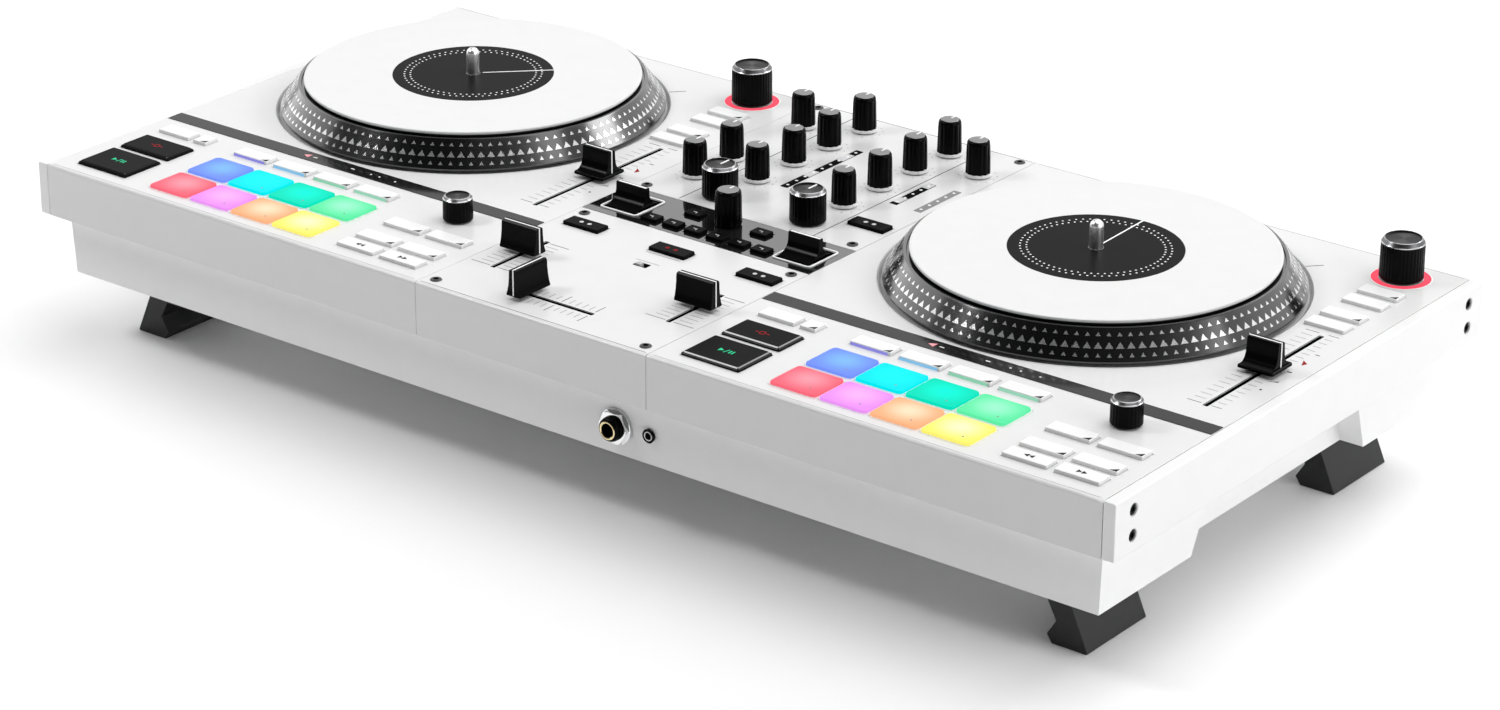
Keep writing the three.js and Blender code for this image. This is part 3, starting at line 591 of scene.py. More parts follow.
def ticks(bm, places, start, end, along="Y"):
    """Lines across a fader's path, from start to end off its middle, at (x, y) places."""
    off, length = (start + end) / 2, abs(end - start)
    for x, y in places:
        if along == "Y":
            line(bm, x + off, y, length, TICK)
        else:
            line(bm, x, y + off, TICK, length)


def spaced(start, end, steps):
    """Evenly spaced values from start to end."""
    return [start + (end - start) * i / steps for i in range(steps + 1)]


def split_scale(places):
    """A scale's end and middle places, and the places between them."""
    strong = [places[0], places[len(places) // 2], places[-1]]
    return strong, [place for place in places if place not in strong]


def dot(bm, x, y, radius, top=PRINT_LIFT, segments=12):
    disc(bm, x, y, radius, -PRINT_DEPTH, top, segments, edge=0.01)


TEMPO = {"x": 125.4, "y": 168.6, "travel": 100.0}
TEMPO_SCALE = (118.0, 224.0, 20)
TEMPO_MAJOR = ((-11.0, -3.2), (2.2, 8.0))
TEMPO_MINOR = ((-10.2, -4.0), (2.8, 7.4))
SIDE_MARKS_X = 136.0


def tempo_prints(n):
    """A deck's printed marks, its tempo scale and the black painted shade in its tempo slot."""
    cx = DECK_X[n]
    x = cx + TEMPO["x"]
    side = cx + SIDE_MARKS_X
    strong, fine = split_scale([(x, y) for y in spaced(*TEMPO_SCALE)])
    with drawn(f"deck_prints_{n}", "black_plastic", PRINT_BLACK) as bm:
        for start, end in TEMPO_MAJOR:
            ticks(bm, strong, start, end)
        line(bm, side, 199.6, 2.6, 0.6)
        line(bm, side, 174.0, 2.6, 0.9)
        mark(bm, [(side - 2.0, 158.6), (side + 2.2, 160.0), (side + 2.2, 161.4)])
        dot(bm, side, 148.1, 0.7)
        mark(bm, [(cx + 72, 292.8), (cx + 72.6, 292.6), (cx + 79.2, 299.8), (cx + 78.8, 300.2)])
    with drawn(f"tempo_scale_{n}", "black_plastic", PRINT_GREY) as bm:
        for start, end in TEMPO_MINOR:
            ticks(bm, fine, start, end)
    with drawn(f"tempo_slot_{n}", "black_plastic", BLACK_AND_HOLE_SHADE) as bm:
        slot_shade(bm, x, TEMPO["y"], TEMPO["travel"])


STRIP_X = (-116.0, 145.5)
STRIP_Y = (90.0, 100.4)
STRIP_RISE = 0.3
STRIP_MIDDLE = sum(STRIP_Y) / 2
STRIP_DOTS_X = (29.6, 35.6, 46.8)


def deck_lamps(n):
    """A deck's small lamps, the marks on its gloss strip and the fine lines by its edges."""
    cx = DECK_X[n]
    side = cx + SIDE_MARKS_X
    with drawn(f"tempo_lamp_{n}", "pad_silicone", LAMP_DIM_RED) as bm:
        mark(bm, [(side + 0.3, 184.4), (side + 1.6, 187.4), (side - 2.0, 190.2)], top=0.1)
    with drawn(f"strip_lamp_{n}", "pad_silicone", LAMP_PINK) as bm:
        mark(bm, [(cx - 18.6, STRIP_MIDDLE), (cx - 14.4, STRIP_MIDDLE - 2.2),
                  (cx - 14.4, STRIP_MIDDLE + 2.2)], top=STRIP_LIFT)
    with drawn(f"strip_marks_{n}", "white_plastic", PRINT_WHITE) as bm:
        line(bm, cx - 10.6, STRIP_MIDDLE, 2.8, 0.8, top=STRIP_LIFT)
        line(bm, cx + 16.6, STRIP_MIDDLE, 2.6, 0.9, top=STRIP_LIFT)
        for x in STRIP_DOTS_X:
            dot(bm, cx + x, STRIP_MIDDLE, 0.6, STRIP_LIFT)
    low, high = local_box(f"deck_plate_{n}")
    with drawn(f"edge_lines_{n}", "white_paint", PRINT_GREY) as bm:
        for y in (FOLD_LINE_INSET, DEPTH - FOLD_LINE_INSET):
            line(bm, (low.x + high.x) / 2, y, high.x - low.x - 2 * FOLD_LINE_INSET, 0.3)


def between(bm, x0, x1, y0, y1, *levels, **edges):
    """A slab given by its ends."""
    slab(bm, (x0 + x1) / 2, (y0 + y1) / 2, x1 - x0, y1 - y0, *levels, **edges)


def deck_strip(n):
    """The gloss strip across the deck, in front of the platter."""
    low, high = local_box(f"deck_plate_{n}")
    x0 = max(DECK_X[n] + STRIP_X[0], low.x + 0.2)
    x1 = min(DECK_X[n] + STRIP_X[1], high.x - 0.2)
    with drawn(f"gloss_strip_{n}", "black_gloss", GLOSS_BLACK) as bm:
        between(bm, x0, x1, *STRIP_Y, -0.1, STRIP_RISE, corner=0.3, edge=0.12)


# Each meter's pale stretches are shares of its length.
METERS = [
    {"x": -9.4, "y": (217.0, 284.5), "dots": 9, "pale": ((0.295, 0.426), (0.73, 0.885)), "back": 0},
    {"x": 50.2, "y": (233.0, 268.5), "dots": 5, "pale": ((0.08, 0.29), (0.80, 0.985)), "back": 0},
    {"x": 66.4, "y": (232.0, 268.5), "dots": 5, "pale": (), "back": 1},
]
METER_WIDTH = 4.8


def meters():
    """Level meters: dark windows with a row of lamps, some of their segments pale."""
    with (drawn("level_lamps", "white_plastic", PRINT_WHITE) as lamps,
          drawn("level_meters", "black_gloss", BLACK_AND_HOLE_SHADE, PRINT_GREY, GREY_AND_WELL_SHADE) as bm):
        for meter in METERS:
            x = meter["x"]
            y0, y1 = meter["y"]
            length = y1 - y0
            slab(bm, x, (y0 + y1) / 2, METER_WIDTH, length, -0.1, 0.16, corner=0.3, edge=0.08,
                 slot=meter["back"])
            for start, end in meter["pale"]:
                y = y0 + (start + end) / 2 * length
                slab(bm, x, y, METER_WIDTH - 0.4, (end - start) * length, 0, 0.22, corner=0.2, edge=0.05,
                     slot=2)
            for i in range(meter["dots"]):
                disc(lamps, x, y0 + (i + 0.5) / meter["dots"] * length, 0.85, 0.0, 0.34, 16)


SECTION_X = (-42.2, 44.4)
SECTION_Y = (170.0, 322.0)
SWITCH = {"x": 0.6, "y": 87.2, "width": 8.0, "depth": 4.4}
VOLUME = {"y": 59.8, "travel": 38.0, "scale": (39.6, 80.0, 10)}
CROSS = {"travel": 40.0, "scale": (-21.5, 21.5, 10)}
KNOB_SWEEP = 5 / 6
SCALE_RADIUS = 10.2
SCALE_STEPS = 10


def volume_prints(dark, pale, slots):
    for n in DECKS:
        x = middle(f"volume_fader_{n}").x
        places = [(x, y) for y in spaced(*VOLUME["scale"])]
        for side in (-1, 1):
            ticks(dark, (places[0], places[-1]), side * 2.5, side * 15)
            ticks(pale, places[1:-1], side * 3.2, side * 11.6)
        slot_shade(slots, x, VOLUME["y"], VOLUME["travel"])


def cross_prints(dark, pale, slots):
    y = middle("crossfader").y
    strong, fine = split_scale([(x, y) for x in spaced(*CROSS["scale"])])
    for side in (-1, 1):
        ticks(dark, strong, side * 3.0, side * 11.0, along="X")
        ticks(pale, fine, side * 3.4, side * 8.4, along="X")
    slot_shade(slots, 0, y, CROSS["travel"], along="X")


def knob_scales(bm):
    """Small dots round each gain, tone and side knob, over the share of a turn that it sweeps."""
    for name in small_knobs():
        spot = middle(name)
        for share in spaced(-0.5, 0.5, SCALE_STEPS):
            angle = (0.25 - share * KNOB_SWEEP) * TURN
            x, y = spot.x + SCALE_RADIUS * math.cos(angle), spot.y + SCALE_RADIUS * math.sin(angle)
            dot(bm, x, y, 0.32, segments=8)


def mixer_prints():
    low, high = local_box("mixer_plate")
    with (drawn("mixer_slots", "black_plastic", BLACK_AND_HOLE_SHADE) as slots,
          drawn("mixer_scales", "white_paint", PRINT_GREY) as pale,
          drawn("mixer_prints", "black_plastic", PRINT_BLACK) as dark):
        for x in SECTION_X:
            line(dark, x, sum(SECTION_Y) / 2, 0.5, SECTION_Y[1] - SECTION_Y[0])
        for y in (FOLD_LINE_INSET, DEPTH - FOLD_LINE_INSET):
            line(dark, 0, y, high.x - low.x - 3, 0.32)
        line(pale, SWITCH["x"], SWITCH["y"] + 4.6, 15, TICK)
        line(pale, 1.7, 102.4, 22, TICK)
        volume_prints(dark, pale, slots)
        cross_prints(dark, pale, slots)
        knob_scales(dark)


def slide_switch():
    """A black well with a small ridged grey lever."""
    x, y, width, depth = SWITCH.values()
    with drawn("slide_switch", "black_plastic", BLACK_AND_HOLE_SHADE, GREY_AND_WELL_SHADE) as bm:
        slab(bm, x, y, width - 0.1, depth - 0.1, -2.4, -1.6, corner=0.2, edge=0.1)
        border(bm, x, y, width - 0.6, depth - 0.6, 0.25, -2.4, 0.02, corner=0.1)
        slab(bm, x - 1.6, y, 3.2, 3.2, -1.7, 0.9, corner=0.3, edge=0.3, slot=1)
        for i in range(3):
            slab(bm, x - 2.4 + i * 0.8, y, 0.3, 2.6, 0.8, 1.1, corner=0.1, edge=0.05, slot=1)


LAMP_RING = [(11.4, -0.1), (15.1, -0.1), (15.1, 0.16), (14.8, 0.3), (11.7, 0.3), (11.4, 0.16)]
LAMP_RIM = [(15.1, -0.1), (15.8, -0.1), (15.8, 0.12), (15.6, 0.22), (15.1, 0.22)]


def lamp_rings():
    """A lit ring with a pale rim round each browse knob."""
    for n in DECKS:
        spot = middle(f"browse_encoder_{n}")
        with drawn(f"lamp_ring_{n}", "pad_silicone", LAMP_RED) as bm:
            lathe(bm, LAMP_RING, 96, spot.x, spot.y)
        with drawn(f"lamp_rim_{n}", "white_plastic", SKIRT_WHITE) as bm:
            lathe(bm, LAMP_RIM, 96, spot.x, spot.y)


# Platters ---

PLATTER_LOW, PLATTER_HIGH = local_box("platter_1")
PLATTER_RADIUS = (PLATTER_HIGH.x - PLATTER_LOW.x) / 2
PLATTER_SEGMENTS = 256
SLOPE_TOP = (96.0, 15.5)
SLOPE_FOOT = (PLATTER_RADIUS, 1.8)
BORE = 3.9
SEAT = 14.6
FELT_MAT = [(BORE, 14.9), (91.2, 14.9), (91.5, 15.2), (91.5, 15.6), (91.2, 15.9), (BORE, 15.9)]
# Rows of (upper share, lower share, width) on the slope.
STROBE_ROWS = [(0.135, 0.25, 2.4), (0.42, 0.61, 4.0), (0.745, 0.865, 2.4)]
STROBE_COUNT = 120
STROBE_LAYERS = (-0.12, 0.1)


def on_slope(share, lift=0.0):
    """A (radius, z) place on the platter's slope, from its top edge (0) to its foot (1)."""
    run = SLOPE_FOOT[0] - SLOPE_TOP[0]
    drop = SLOPE_FOOT[1] - SLOPE_TOP[1]
    length = math.hypot(run, drop)
    return (SLOPE_TOP[0] + share * run - drop / length * lift,
            SLOPE_TOP[1] + share * drop + run / length * lift)


def on_deck(n, bm, profile, segments=PLATTER_SEGMENTS):
    """Revolves an outline round the middle of a deck's platter."""
    lathe(bm, profile, segments, DECK_X[n], PLATTER_Y)


def surround(n):
    """The bevelled ring that lines the platter's well; its grey is painted shade."""
    r = PLATTER_RADIUS
    outline = [(r + 0.6, -1.95), (r + 1.4, -1.95), (r + 2.2, -0.9), (r + 2.8, -0.9), (r + 3.0, 0.1),
               (r + 2.6, 0.22), (r + 2.2, 0.05), (r + 1.1, -1.35), (r + 0.6, -1.6)]
    with drawn(f"well_surround_{n}", "white_paint", GREY_AND_WELL_SHADE) as bm:
        on_deck(n, bm, outline)


def strobe_mark(bm, angle, high_share, low_share, width):
    """One raised triangle, with its tip up the slope."""
    layers = []
    for lift in STROBE_LAYERS:
        corners = []
        for share, side in ((high_share, 0), (low_share, -1), (low_share, 1)):
            r, z = on_slope(share, lift)
            turn = angle + side * width / 2 / r
            corners.append((r * math.cos(turn), r * math.sin(turn), z))
        layers.append(corners)
    loft(bm, layers)


def strobe_marks(n):
    """Three rows of raised triangles round the platter's slope."""
    with drawn(f"strobe_marks_{n}", "white_vinyl", STROBE, body=f"deck_{n}_platter",
               at=(DECK_X[n], PLATTER_Y, 0)) as bm:
        for row in STROBE_ROWS:
            for i in range(STROBE_COUNT):
                strobe_mark(bm, (i + 0.5) / STROBE_COUNT * TURN, *row)


def platter(n):
    """The turned platter with a hollow underside, and the felt mat on its seat."""
    r = PLATTER_RADIUS
    slope = [on_slope(share) for share in (1, 0.95, 0.05)]
    rim = [(96.0, 15.45), (95.7, 15.5), (94.6, 15.5), (94.3, 15.4), (94.0, SEAT)]
    under = [(BORE, -0.8), (14, -0.8), (14, 9), (88, 9), (92, -0.8), (r - 5, -0.8), (r - 0.6, 0.5), (r, 1.0)]
    with drawn(f"turned_platter_{n}", "black_aluminium", PLATTER_BLACK, node=f"platter_{n}") as bm:
        on_deck(n, bm, [*under, *slope, *rim, (BORE, SEAT)])
    with drawn(f"felt_mat_{n}", "black_felt", FELT, node=f"slipmat_{n}") as bm:
        on_deck(n, bm, FELT_MAT, 192)


RECORD = {"radius": 93.0, "low": 16.2, "top": 18.0, "label": 44.4}
DOT_RINGS = (34.6, 37.8)
DOTS_IN_RING = 66
CUE_LINE_START = 5.2
CUE_LINE_TURN = {1: math.radians(44.5), 2: math.radians(91.5)}
RECORD_WHITE = {
    n: grooved(material(f"record_white_{n}", (0.70, 0.70, 0.70), 0.2, tone=0.01, bump=0.002), DECK_X[n], 0.8)
    for n in DECKS
}


def record(n):
    """A white control record: rounded rim, lead-in step, dark label with dots and a cue line."""
    r, low, top, label = RECORD.values()
    body = f"deck_{n}_platter"
    rim = [(r - 0.7, low), (r - 0.2, low + 0.2), (r, low + 0.6), (r, top - 0.6), (r - 0.2, top - 0.2),
           (r - 0.7, top)]
    grooves = [(r - 2.5, top), (r - 2.8, top - 0.12), (label + 3.1, top - 0.12), (label + 2.8, top)]
    with drawn(f"control_record_{n}", "white_vinyl", RECORD_WHITE[n], node=f"vinyl_{n}") as bm:
        on_deck(n, bm, [(BORE, low), *rim, *grooves, (BORE, top)])
    disc_top = top + 0.08
    with drawn(f"record_label_{n}", "black_gloss", LABEL, body=body) as bm:
        on_deck(n, bm, [(BORE, top - 0.2), (label, top - 0.2), (label, top + 0.03), (label - 0.2, disc_top),
                        (BORE + 0.1, disc_top)], 128)
    with drawn(f"label_marks_{n}", "white_vinyl", PRINT_WHITE, body=body) as bm:
        for ring, radius in enumerate(DOT_RINGS):
            for i in range(DOTS_IN_RING):
                angle = (i + ring * 0.5) / DOTS_IN_RING * TURN
                x, y = radius * math.cos(angle), radius * math.sin(angle)
                disc(bm, DECK_X[n] + x, PLATTER_Y + y, 0.56, top, top + 0.12, 8, edge=0.02)
        cue = bmesh.new()
        line(cue, (CUE_LINE_START + label) / 2, 0, label - CUE_LINE_START, 0.9)
        at_label = Matrix.Translation((DECK_X[n], PLATTER_Y, disc_top + 0.02))
        merge(bm, cue, at_label @ Matrix.Rotation(CUE_LINE_TURN[n], 4, "Z"))


def spindle(n):
    low, high = local_box(f"spindle_{n}")
    r = 3.6
    tip = [(r * math.cos(a), high.z - r + r * math.sin(a)) for a in (0.0, 0.3, 0.6, 0.9, 1.2, 1.42)]
    pin = [(0, low.z), (r, low.z), (r, -3.8), (12, -3.8), (12, -1.1), (r, -1.1), *tip, (0, high.z)]
    with drawn(f"spindle_pin_{n}", "chrome", SATIN_CHROME, node=f"spindle_{n}") as bm:
        on_deck(n, bm, pin, 48)


# Knobs ---

KNOB_LIFT = 0.8
POINTER_RISE = 0.35
KNOB_SHARP = 38
POINTS_IN_FLUTE = 8


def small_knobs():
    return [
        *[f"{kind}_knob_{n}" for n in DECKS for kind in ("gain", "high", "mid", "low")],
        "master_knob", "monitor_mix_knob", "monitor_level_knob", "microphone_knob",
    ]


def over(node):
    """The point of the top surface at a node's middle."""
    spot = middle(node)
    return spot.x, spot.y, 0


def waved(z, segments, radius_at):
    """A ring of points whose radius changes with the angle."""
    angles = [i / segments * TURN for i in range(segments)]
    return [(radius_at(a) * math.cos(a), radius_at(a) * math.sin(a), z) for a in angles]


def fluted(r, z, depth, flutes):
    """A ring of points with narrow flutes of the given depth."""
    return waved(z, flutes * POINTS_IN_FLUTE, lambda a: r - depth * (0.5 + 0.5 * math.cos(a * flutes)) ** 3)


def knob_shell(bm, grip, crown, flutes, slots):
    """Lofts a knob: fluted grip rings of (radius, z, depth), then round crown rings to the middle."""
    last, top = crown[-1]
    rings = levelled([(z, circle(r, flutes * POINTS_IN_FLUTE)) for r, z in [*crown, (last / 2, top)]])
    loft(bm, [*(fluted(*ring, flutes) for ring in grip), rings[0]], 0, (True, False))
    for low, high, slot in zip(rings, rings[1:], slots):
        loft(bm, [low, high], slot, (False, high is rings[-1]))
    bmesh.ops.remove_doubles(bm, verts=bm.verts, dist=0.002)


def shaft(bm, node):
    low = local_box(node)[0].z
    lathe(bm, [(0, low), (3.1, low), (3.1, KNOB_LIFT + 0.2), (0, KNOB_LIFT + 0.2)], 24)


def small_knob(node, radius=6.7, taper=0.55, foot=2.0, lower=0.0):
    """A slim fluted knob with a black shoulder, a grey cap and a pale pointer."""
    top = local_box(node)[1].z - POINTER_RISE - lower
    shoulder = top - 1.9
    r = radius - taper
    grip = [(radius - 0.2, foot - 0.4, 0.5), (radius, foot, 0.55), (radius - taper * 0.6, shoulder - 2, 0.4),
            (r, shoulder, 0.12)]
    crown = [(r, shoulder), (r - 0.15, top - 1.1), (r - 0.55, top - 0.5), (r - 1.15, top - 0.16),
             (r - 1.25, top - 0.06), (r - 1.5, top)]
    with drawn(f"{node}_moulded", "black_plastic", GRIP_BLACK, CAP_GREY, PRINT_WHITE, node=node,
               at=over(node), sharp=KNOB_SHARP) as bm:
        knob_shell(bm, grip, crown, 12, [0, 0, 0, 1, 1, 1])
        shaft(bm, node)
        slab(bm, 0, 2.9, 0.9, 3.6, top - 0.3, top + 0.2, corner=0.3, edge=0.1, slot=2)


def wide_knob(node, radius, chamfer, pointer=False, flutes=28):
    """A wide knob: fine flutes, a turned chamfer of (run, drop) between edges of lighter metal that are
    painted highlights, a brushed dish.
    """
    top = local_box(node)[1].z - POINTER_RISE
    run, drop = chamfer
    shoulder = top - drop
    dish = radius - run
    grip = [(radius - 0.4, KNOB_LIFT, 0), (radius, KNOB_LIFT + 0.5, 0.1), (radius, 2.4, 0.26),
            (radius - 0.1, shoulder - 1.2, 0.26), (radius - 0.1, shoulder - 0.3, 0)]
    crown = [(radius - 0.1, shoulder - 0.3), (radius - 0.15, shoulder), (radius - 0.5, shoulder + 0.3),
             (dish + 0.3, top - 0.15), (dish, top), (dish - 0.25, top - 0.05), (dish - 0.4, top - 0.6),
             (dish - 0.7, top - 0.75)]
    with drawn(f"{node}_moulded", "black_plastic", GRIP_BLACK, SILVER_AND_EDGE_HIGHLIGHT, CHAMFER, DISH, PRINT_WHITE, node=node,
               at=over(node), sharp=KNOB_SHARP) as bm:
        knob_shell(bm, grip, crown, flutes, [1, 1, 2, 1, 1, 0, 3, 3])
        shaft(bm, node)
        if pointer:
            slab(bm, 0, dish * 0.5, 0.9, dish * 0.9, top - 0.9, top - 0.35, corner=0.3, edge=0.1, slot=4)


def skirt(node, radius=7.2, top=2.3, scallops=12):
    """The pale scalloped collar that a small knob stands in."""
    rings = [(radius, KNOB_LIFT + 0.01, 0.1), (radius + 0.05, top - 0.5, 0.12),
             (radius - 0.05, top - 0.1, 0.14), (radius - 0.4, top, 0.14)]
    with drawn(f"{node}_skirt", "white_plastic", SKIRT_WHITE, body=node, at=over(node)) as bm:
        loft(bm, [waved(z, scallops * POINTS_IN_FLUTE, lambda a: r + wave * math.cos(a * scallops))
                  for r, z, wave in rings])


def knobs():
    for node in small_knobs():
        small_knob(node)
        skirt(node)
    small_knob("effects_knob", radius=7.2, taper=0.45, foot=1.2, lower=1.2)
    for n in DECKS:
        wide_knob(f"filter_knob_{n}", 9.65, (1.6, 1.7), pointer=True)
        wide_knob(f"browse_encoder_{n}", 11.3, (1.8, 2.2), flutes=36)
        wide_knob(f"loop_encoder_{n}", 7.9, (1.5, 1.4), flutes=24)


# Faders and levers ---

CAP_BASE = 2.3


def fader_stem(bm):
    slab(bm, 0, 0, 1.4, 4.0, -8, 3.2, corner=0.2, edge=0.1)


def ridge_line(bm, half_thick, low, top, half):
    """A thin pale inlay over a cap's ridge and down both of its ends."""
    inlay = bmesh.new()
    along_x(inlay, mirrored([(half_thick, low), (half_thick, top)]), half, slot=1, bevel=0.12, segments=1)
    merge(bm, inlay)


def volume_cap(node, turn=None):
    """A scooped cap with a pale line over its ridge and down its ends."""
    low, high = local_box(node)
    base, top = CAP_BASE, high.z
    half = max(high.x - low.x, high.y - low.y) / 2
    scoop = [(4.4, base), (4.4, base + 0.9), (3.7, 5.2), (3.05, 8.6), (2.7, 12.0), (2.6, top - 1.5),
             (2.35, top - 0.5), (1.8, top - 0.02)]
    with drawn(f"{node}_cap", "black_plastic", SATIN_BLACK, PRINT_WHITE, node=node, at=over(node),
               turn=turn) as bm:
        along_x(bm, mirrored(scoop), half - 0.04, bevel=0.45)
        ridge_line(bm, 0.42, base + 0.5, top, half)
        fader_stem(bm)


def tempo_cap(n):
    """A cap with a broad foot that sweeps up to a narrow ridge."""
    node = f"tempo_fader_{n}"
    low, high = local_box(node)
    base, top = CAP_BASE, high.z
    width, depth = high.x - low.x, high.y - low.y
    reach = depth / 2
    half = width / 2 - 1.1
    sweep = [(reach, base), (reach, base + 0.7), (reach - 1.1, base + 1.5), (6.0, 4.6), (4.4, 6.0),
             (3.4, 8.0), (2.95, 10.4), (2.75, 12.8), (2.6, top - 1.2), (2.35, top - 0.4), (1.8, top - 0.02)]
    with drawn(f"{node}_cap", "black_plastic", SATIN_BLACK, PRINT_WHITE, node=node, at=over(node)) as bm:
        along_x(bm, mirrored(sweep), half - 0.04, bevel=0.35)
        slab(bm, 0, 0, width, depth, base, base + 1.5, corner=1.2, edge=0.7)
        ridge_line(bm, 0.45, base + 0.6, top, half)
        fader_stem(bm)


def fader_caps(n):
    tempo_cap(n)
    volume_cap(f"volume_fader_{n}")


PADDLE_PIVOT = -6.0
PADDLE_FRAME = {"width": 22.4, "depth": 24.0, "band": 1.1}
PADDLE_FRAME_RISE = 0.6


def paddle(n):
    """A thin blade that sweeps out to a skirt over its pivot, in a pale frame."""
    node = f"effects_paddle_{n}"
    low, high = local_box(node)
    half, top = (high.x - low.x) / 2, high.z
    reach = (high.y - low.y) / 2
    blade = [(reach, -1.35), (reach, 0.0), (reach - 1.6, 0.6), (5.6, 1.5), (4.0, 2.5), (2.8, 3.7), (2.0, 5.2),
             (1.6, 7.2), (1.4, top - 0.3), (1.1, top - 0.06)]
    with drawn(f"{node}_blade", "black_plastic", SATIN_BLACK, PRINT_WHITE, node=node, at=over(node)) as bm:
        along_x(bm, mirrored(blade), half, bevel=0.25)
        slab(bm, 0, 0, 2 * half - 1.2, 1.3, top - 0.3, top, corner=0.3, edge=0.04, slot=1)
        slab(bm, 0, 0, 18, 2.4, PADDLE_PIVOT, -1, corner=0.3, edge=0.1)
        axle = bmesh.new()
        along_x(axle, circle(2.4, 24, 0, PADDLE_PIVOT), 9, bevel=0.2, segments=1)
        merge(bm, axle)
    spot = middle(node)
    with drawn(f"paddle_frame_{n}", "white_plastic", PRINT_WHITE) as bm:
        border(bm, spot.x, spot.y, *PADDLE_FRAME.values(), -0.1, PADDLE_FRAME_RISE, corner=1.2, edge=0.15)


# Keys ---

MAT_LEVELS = (-6.5, -5.3)
KEY_FOOT = MAT_LEVELS[0] + 0.2
KEY_FLANGE = 1.0
MARK_RISE = 0.05
PAD_SPREAD = 0.7


def corner_mark(bm, x, y, width, depth, top):
    """The dark triangle in a key's front right corner, with its upright side at the right."""
    right, front = x + width / 2 - 0.45, y - depth / 2 + 0.45
    mark(bm, [(right - 4.0, front), (right, front), (right, front + 3.2)], 1, top + 0.03)


def arrow_marks(bm, x, y, side, top):
    """Two small triangles that point to one side."""
    for shift in (-1.4, 1.4):
        tip, base = x + shift + side * 1.5, x + shift - side * 1.2
        mark(bm, [(tip, y), (base, y + side * 1.6), (base, y - side * 1.6)], 1, top + 0.03)


def play_mark(bm, x, y, top):
    """A triangle, a slanted line and two bars."""
    mark(bm, [(x - 4.4, y - 1.7), (x - 1.6, y), (x - 4.4, y + 1.7)], 3, top)
    mark(bm, [(x - 0.9, y - 2.0), (x - 0.3, y - 2.0), (x + 0.9, y + 2.0), (x + 0.3, y + 2.0)], 3, top)
    for bar in (2.2, 3.9):
        line(bm, x + bar, y, 0.8, 3.2, 3, top)


def cue_mark(bm, x, y, top):
    """A small ring between two bars."""
    lathe(bm, [(1.3, top - 0.1), (1.9, top - 0.1), (1.9, top), (1.3, top)], 32, x, y, 3)
    for side in (-1, 1):
        line(bm, x + side * 3.4, y, 1.6, 0.7, 3, top)


def big_keys(n):
    """The play and cue keys: a dark cap stepped twice at its edges, with a lit mark."""
    for kind, lamp, draw in (("play", LAMP_GREEN, play_mark), ("cue", LAMP_DIM_RED, cue_mark)):
        node = f"{kind}_key_{n}"
        low, high = local_box(node)
        width, depth = high.x - low.x - 2 * KEY_FLANGE, high.y - low.y - 2 * KEY_FLANGE
        x, y = (low.x + high.x) / 2, (low.y + high.y) / 2
        top = high.z
        with drawn(f"{node}_cap", "black_gloss", CHARCOAL, GRIP_BLACK, BEVEL_BLACK, lamp, node=node) as bm:
            slab(bm, x, y, width, depth, low.z + 0.2, top - 0.65, corner=0.8, edge=0.5, slot=1, steps=1)
            slab(bm, x, y, width - 1.6, depth - 1.6, top - 0.7, top, corner=0.6, edge=0.6, slot=2, steps=1)
            slab(bm, x, y, width - 2.7, depth - 2.7, top - 0.3, top + 0.02, corner=0.5, edge=0.02, steps=1)
            slab(bm, x, y, width + 2, depth + 2, low.z, low.z + 1.1, corner=0.6, edge=0.1, slot=1)
            draw(bm, x, y, top + MARK_RISE)
        with drawn(f"{node}_bezel", "white_paint", GREY_AND_WELL_SHADE) as bm:
            border(bm, x, y, width + 0.7, depth + 0.7, 0.4, -0.1, 0.12, corner=0.9)


def key_mat(bm, node):
    """The sheet under a node's keys, as wide and deep as the node."""
    low, high = local_box(node)
    between(bm, low.x, high.x, low.y, high.y, *MAT_LEVELS, corner=2, edge=0.3)


def pads(n):
    """Eight lit pads on their mat. The first of them stands for the CAD node."""
    node = f"pads_{n}"
    areas, top = flat_tops(node)
    for i, (x, y, width, depth) in enumerate(areas):
        with drawn(f"pad_{n}_{i + 1}", "pad_silicone", PAD_LIGHTS[i], PRINT_GREY, body=node,
                   node=None if i else node) as bm:
            slab(bm, x, y, width + PAD_SPREAD, depth + PAD_SPREAD, MAT_LEVELS[1], top, corner=2.5, edge=0.6,
                 steps=4)
            disc(bm, x + width * 0.26, y - depth * 0.28, 0.55, top - 0.1, top + 0.04, 16, slot=1, edge=0.02)
    with drawn(f"pad_mat_{n}", "pad_silicone", SKIRT_WHITE, body=node) as bm:
        key_mat(bm, node)
    with drawn(f"pad_bezels_{n}", "white_plastic", PRINT_WHITE) as bm:
        for x, y, width, depth in areas:
            border(bm, x, y, width + 1.0, depth + 1.0, 0.3, -0.1, 0.12, corner=2.6)


# Zones of the small keys, as limits of x from the platter's middle and of y.
FRONT_PAIR_LIMIT = 20
MODE_ROW = (70, 82)
MODE_X = (-45, 60)
KEYS_X = 80
REAR_KEYS = (109, 228)
NOTCH = 7.0


def is_mode_key(x, y):
    return MODE_ROW[0] < y < MODE_ROW[1] and MODE_X[0] < x < MODE_X[1]


def has_corner(x, y):
    """The keys with a corner mark: all but the long key, the front pair and two of the side keys."""
    front_left = -80 < x < -70
    front_right = x > KEYS_X and 25 < y < 60
    rear = 240 < y < 255 or y > 280
    return is_mode_key(x, y) or front_left or front_right or rear


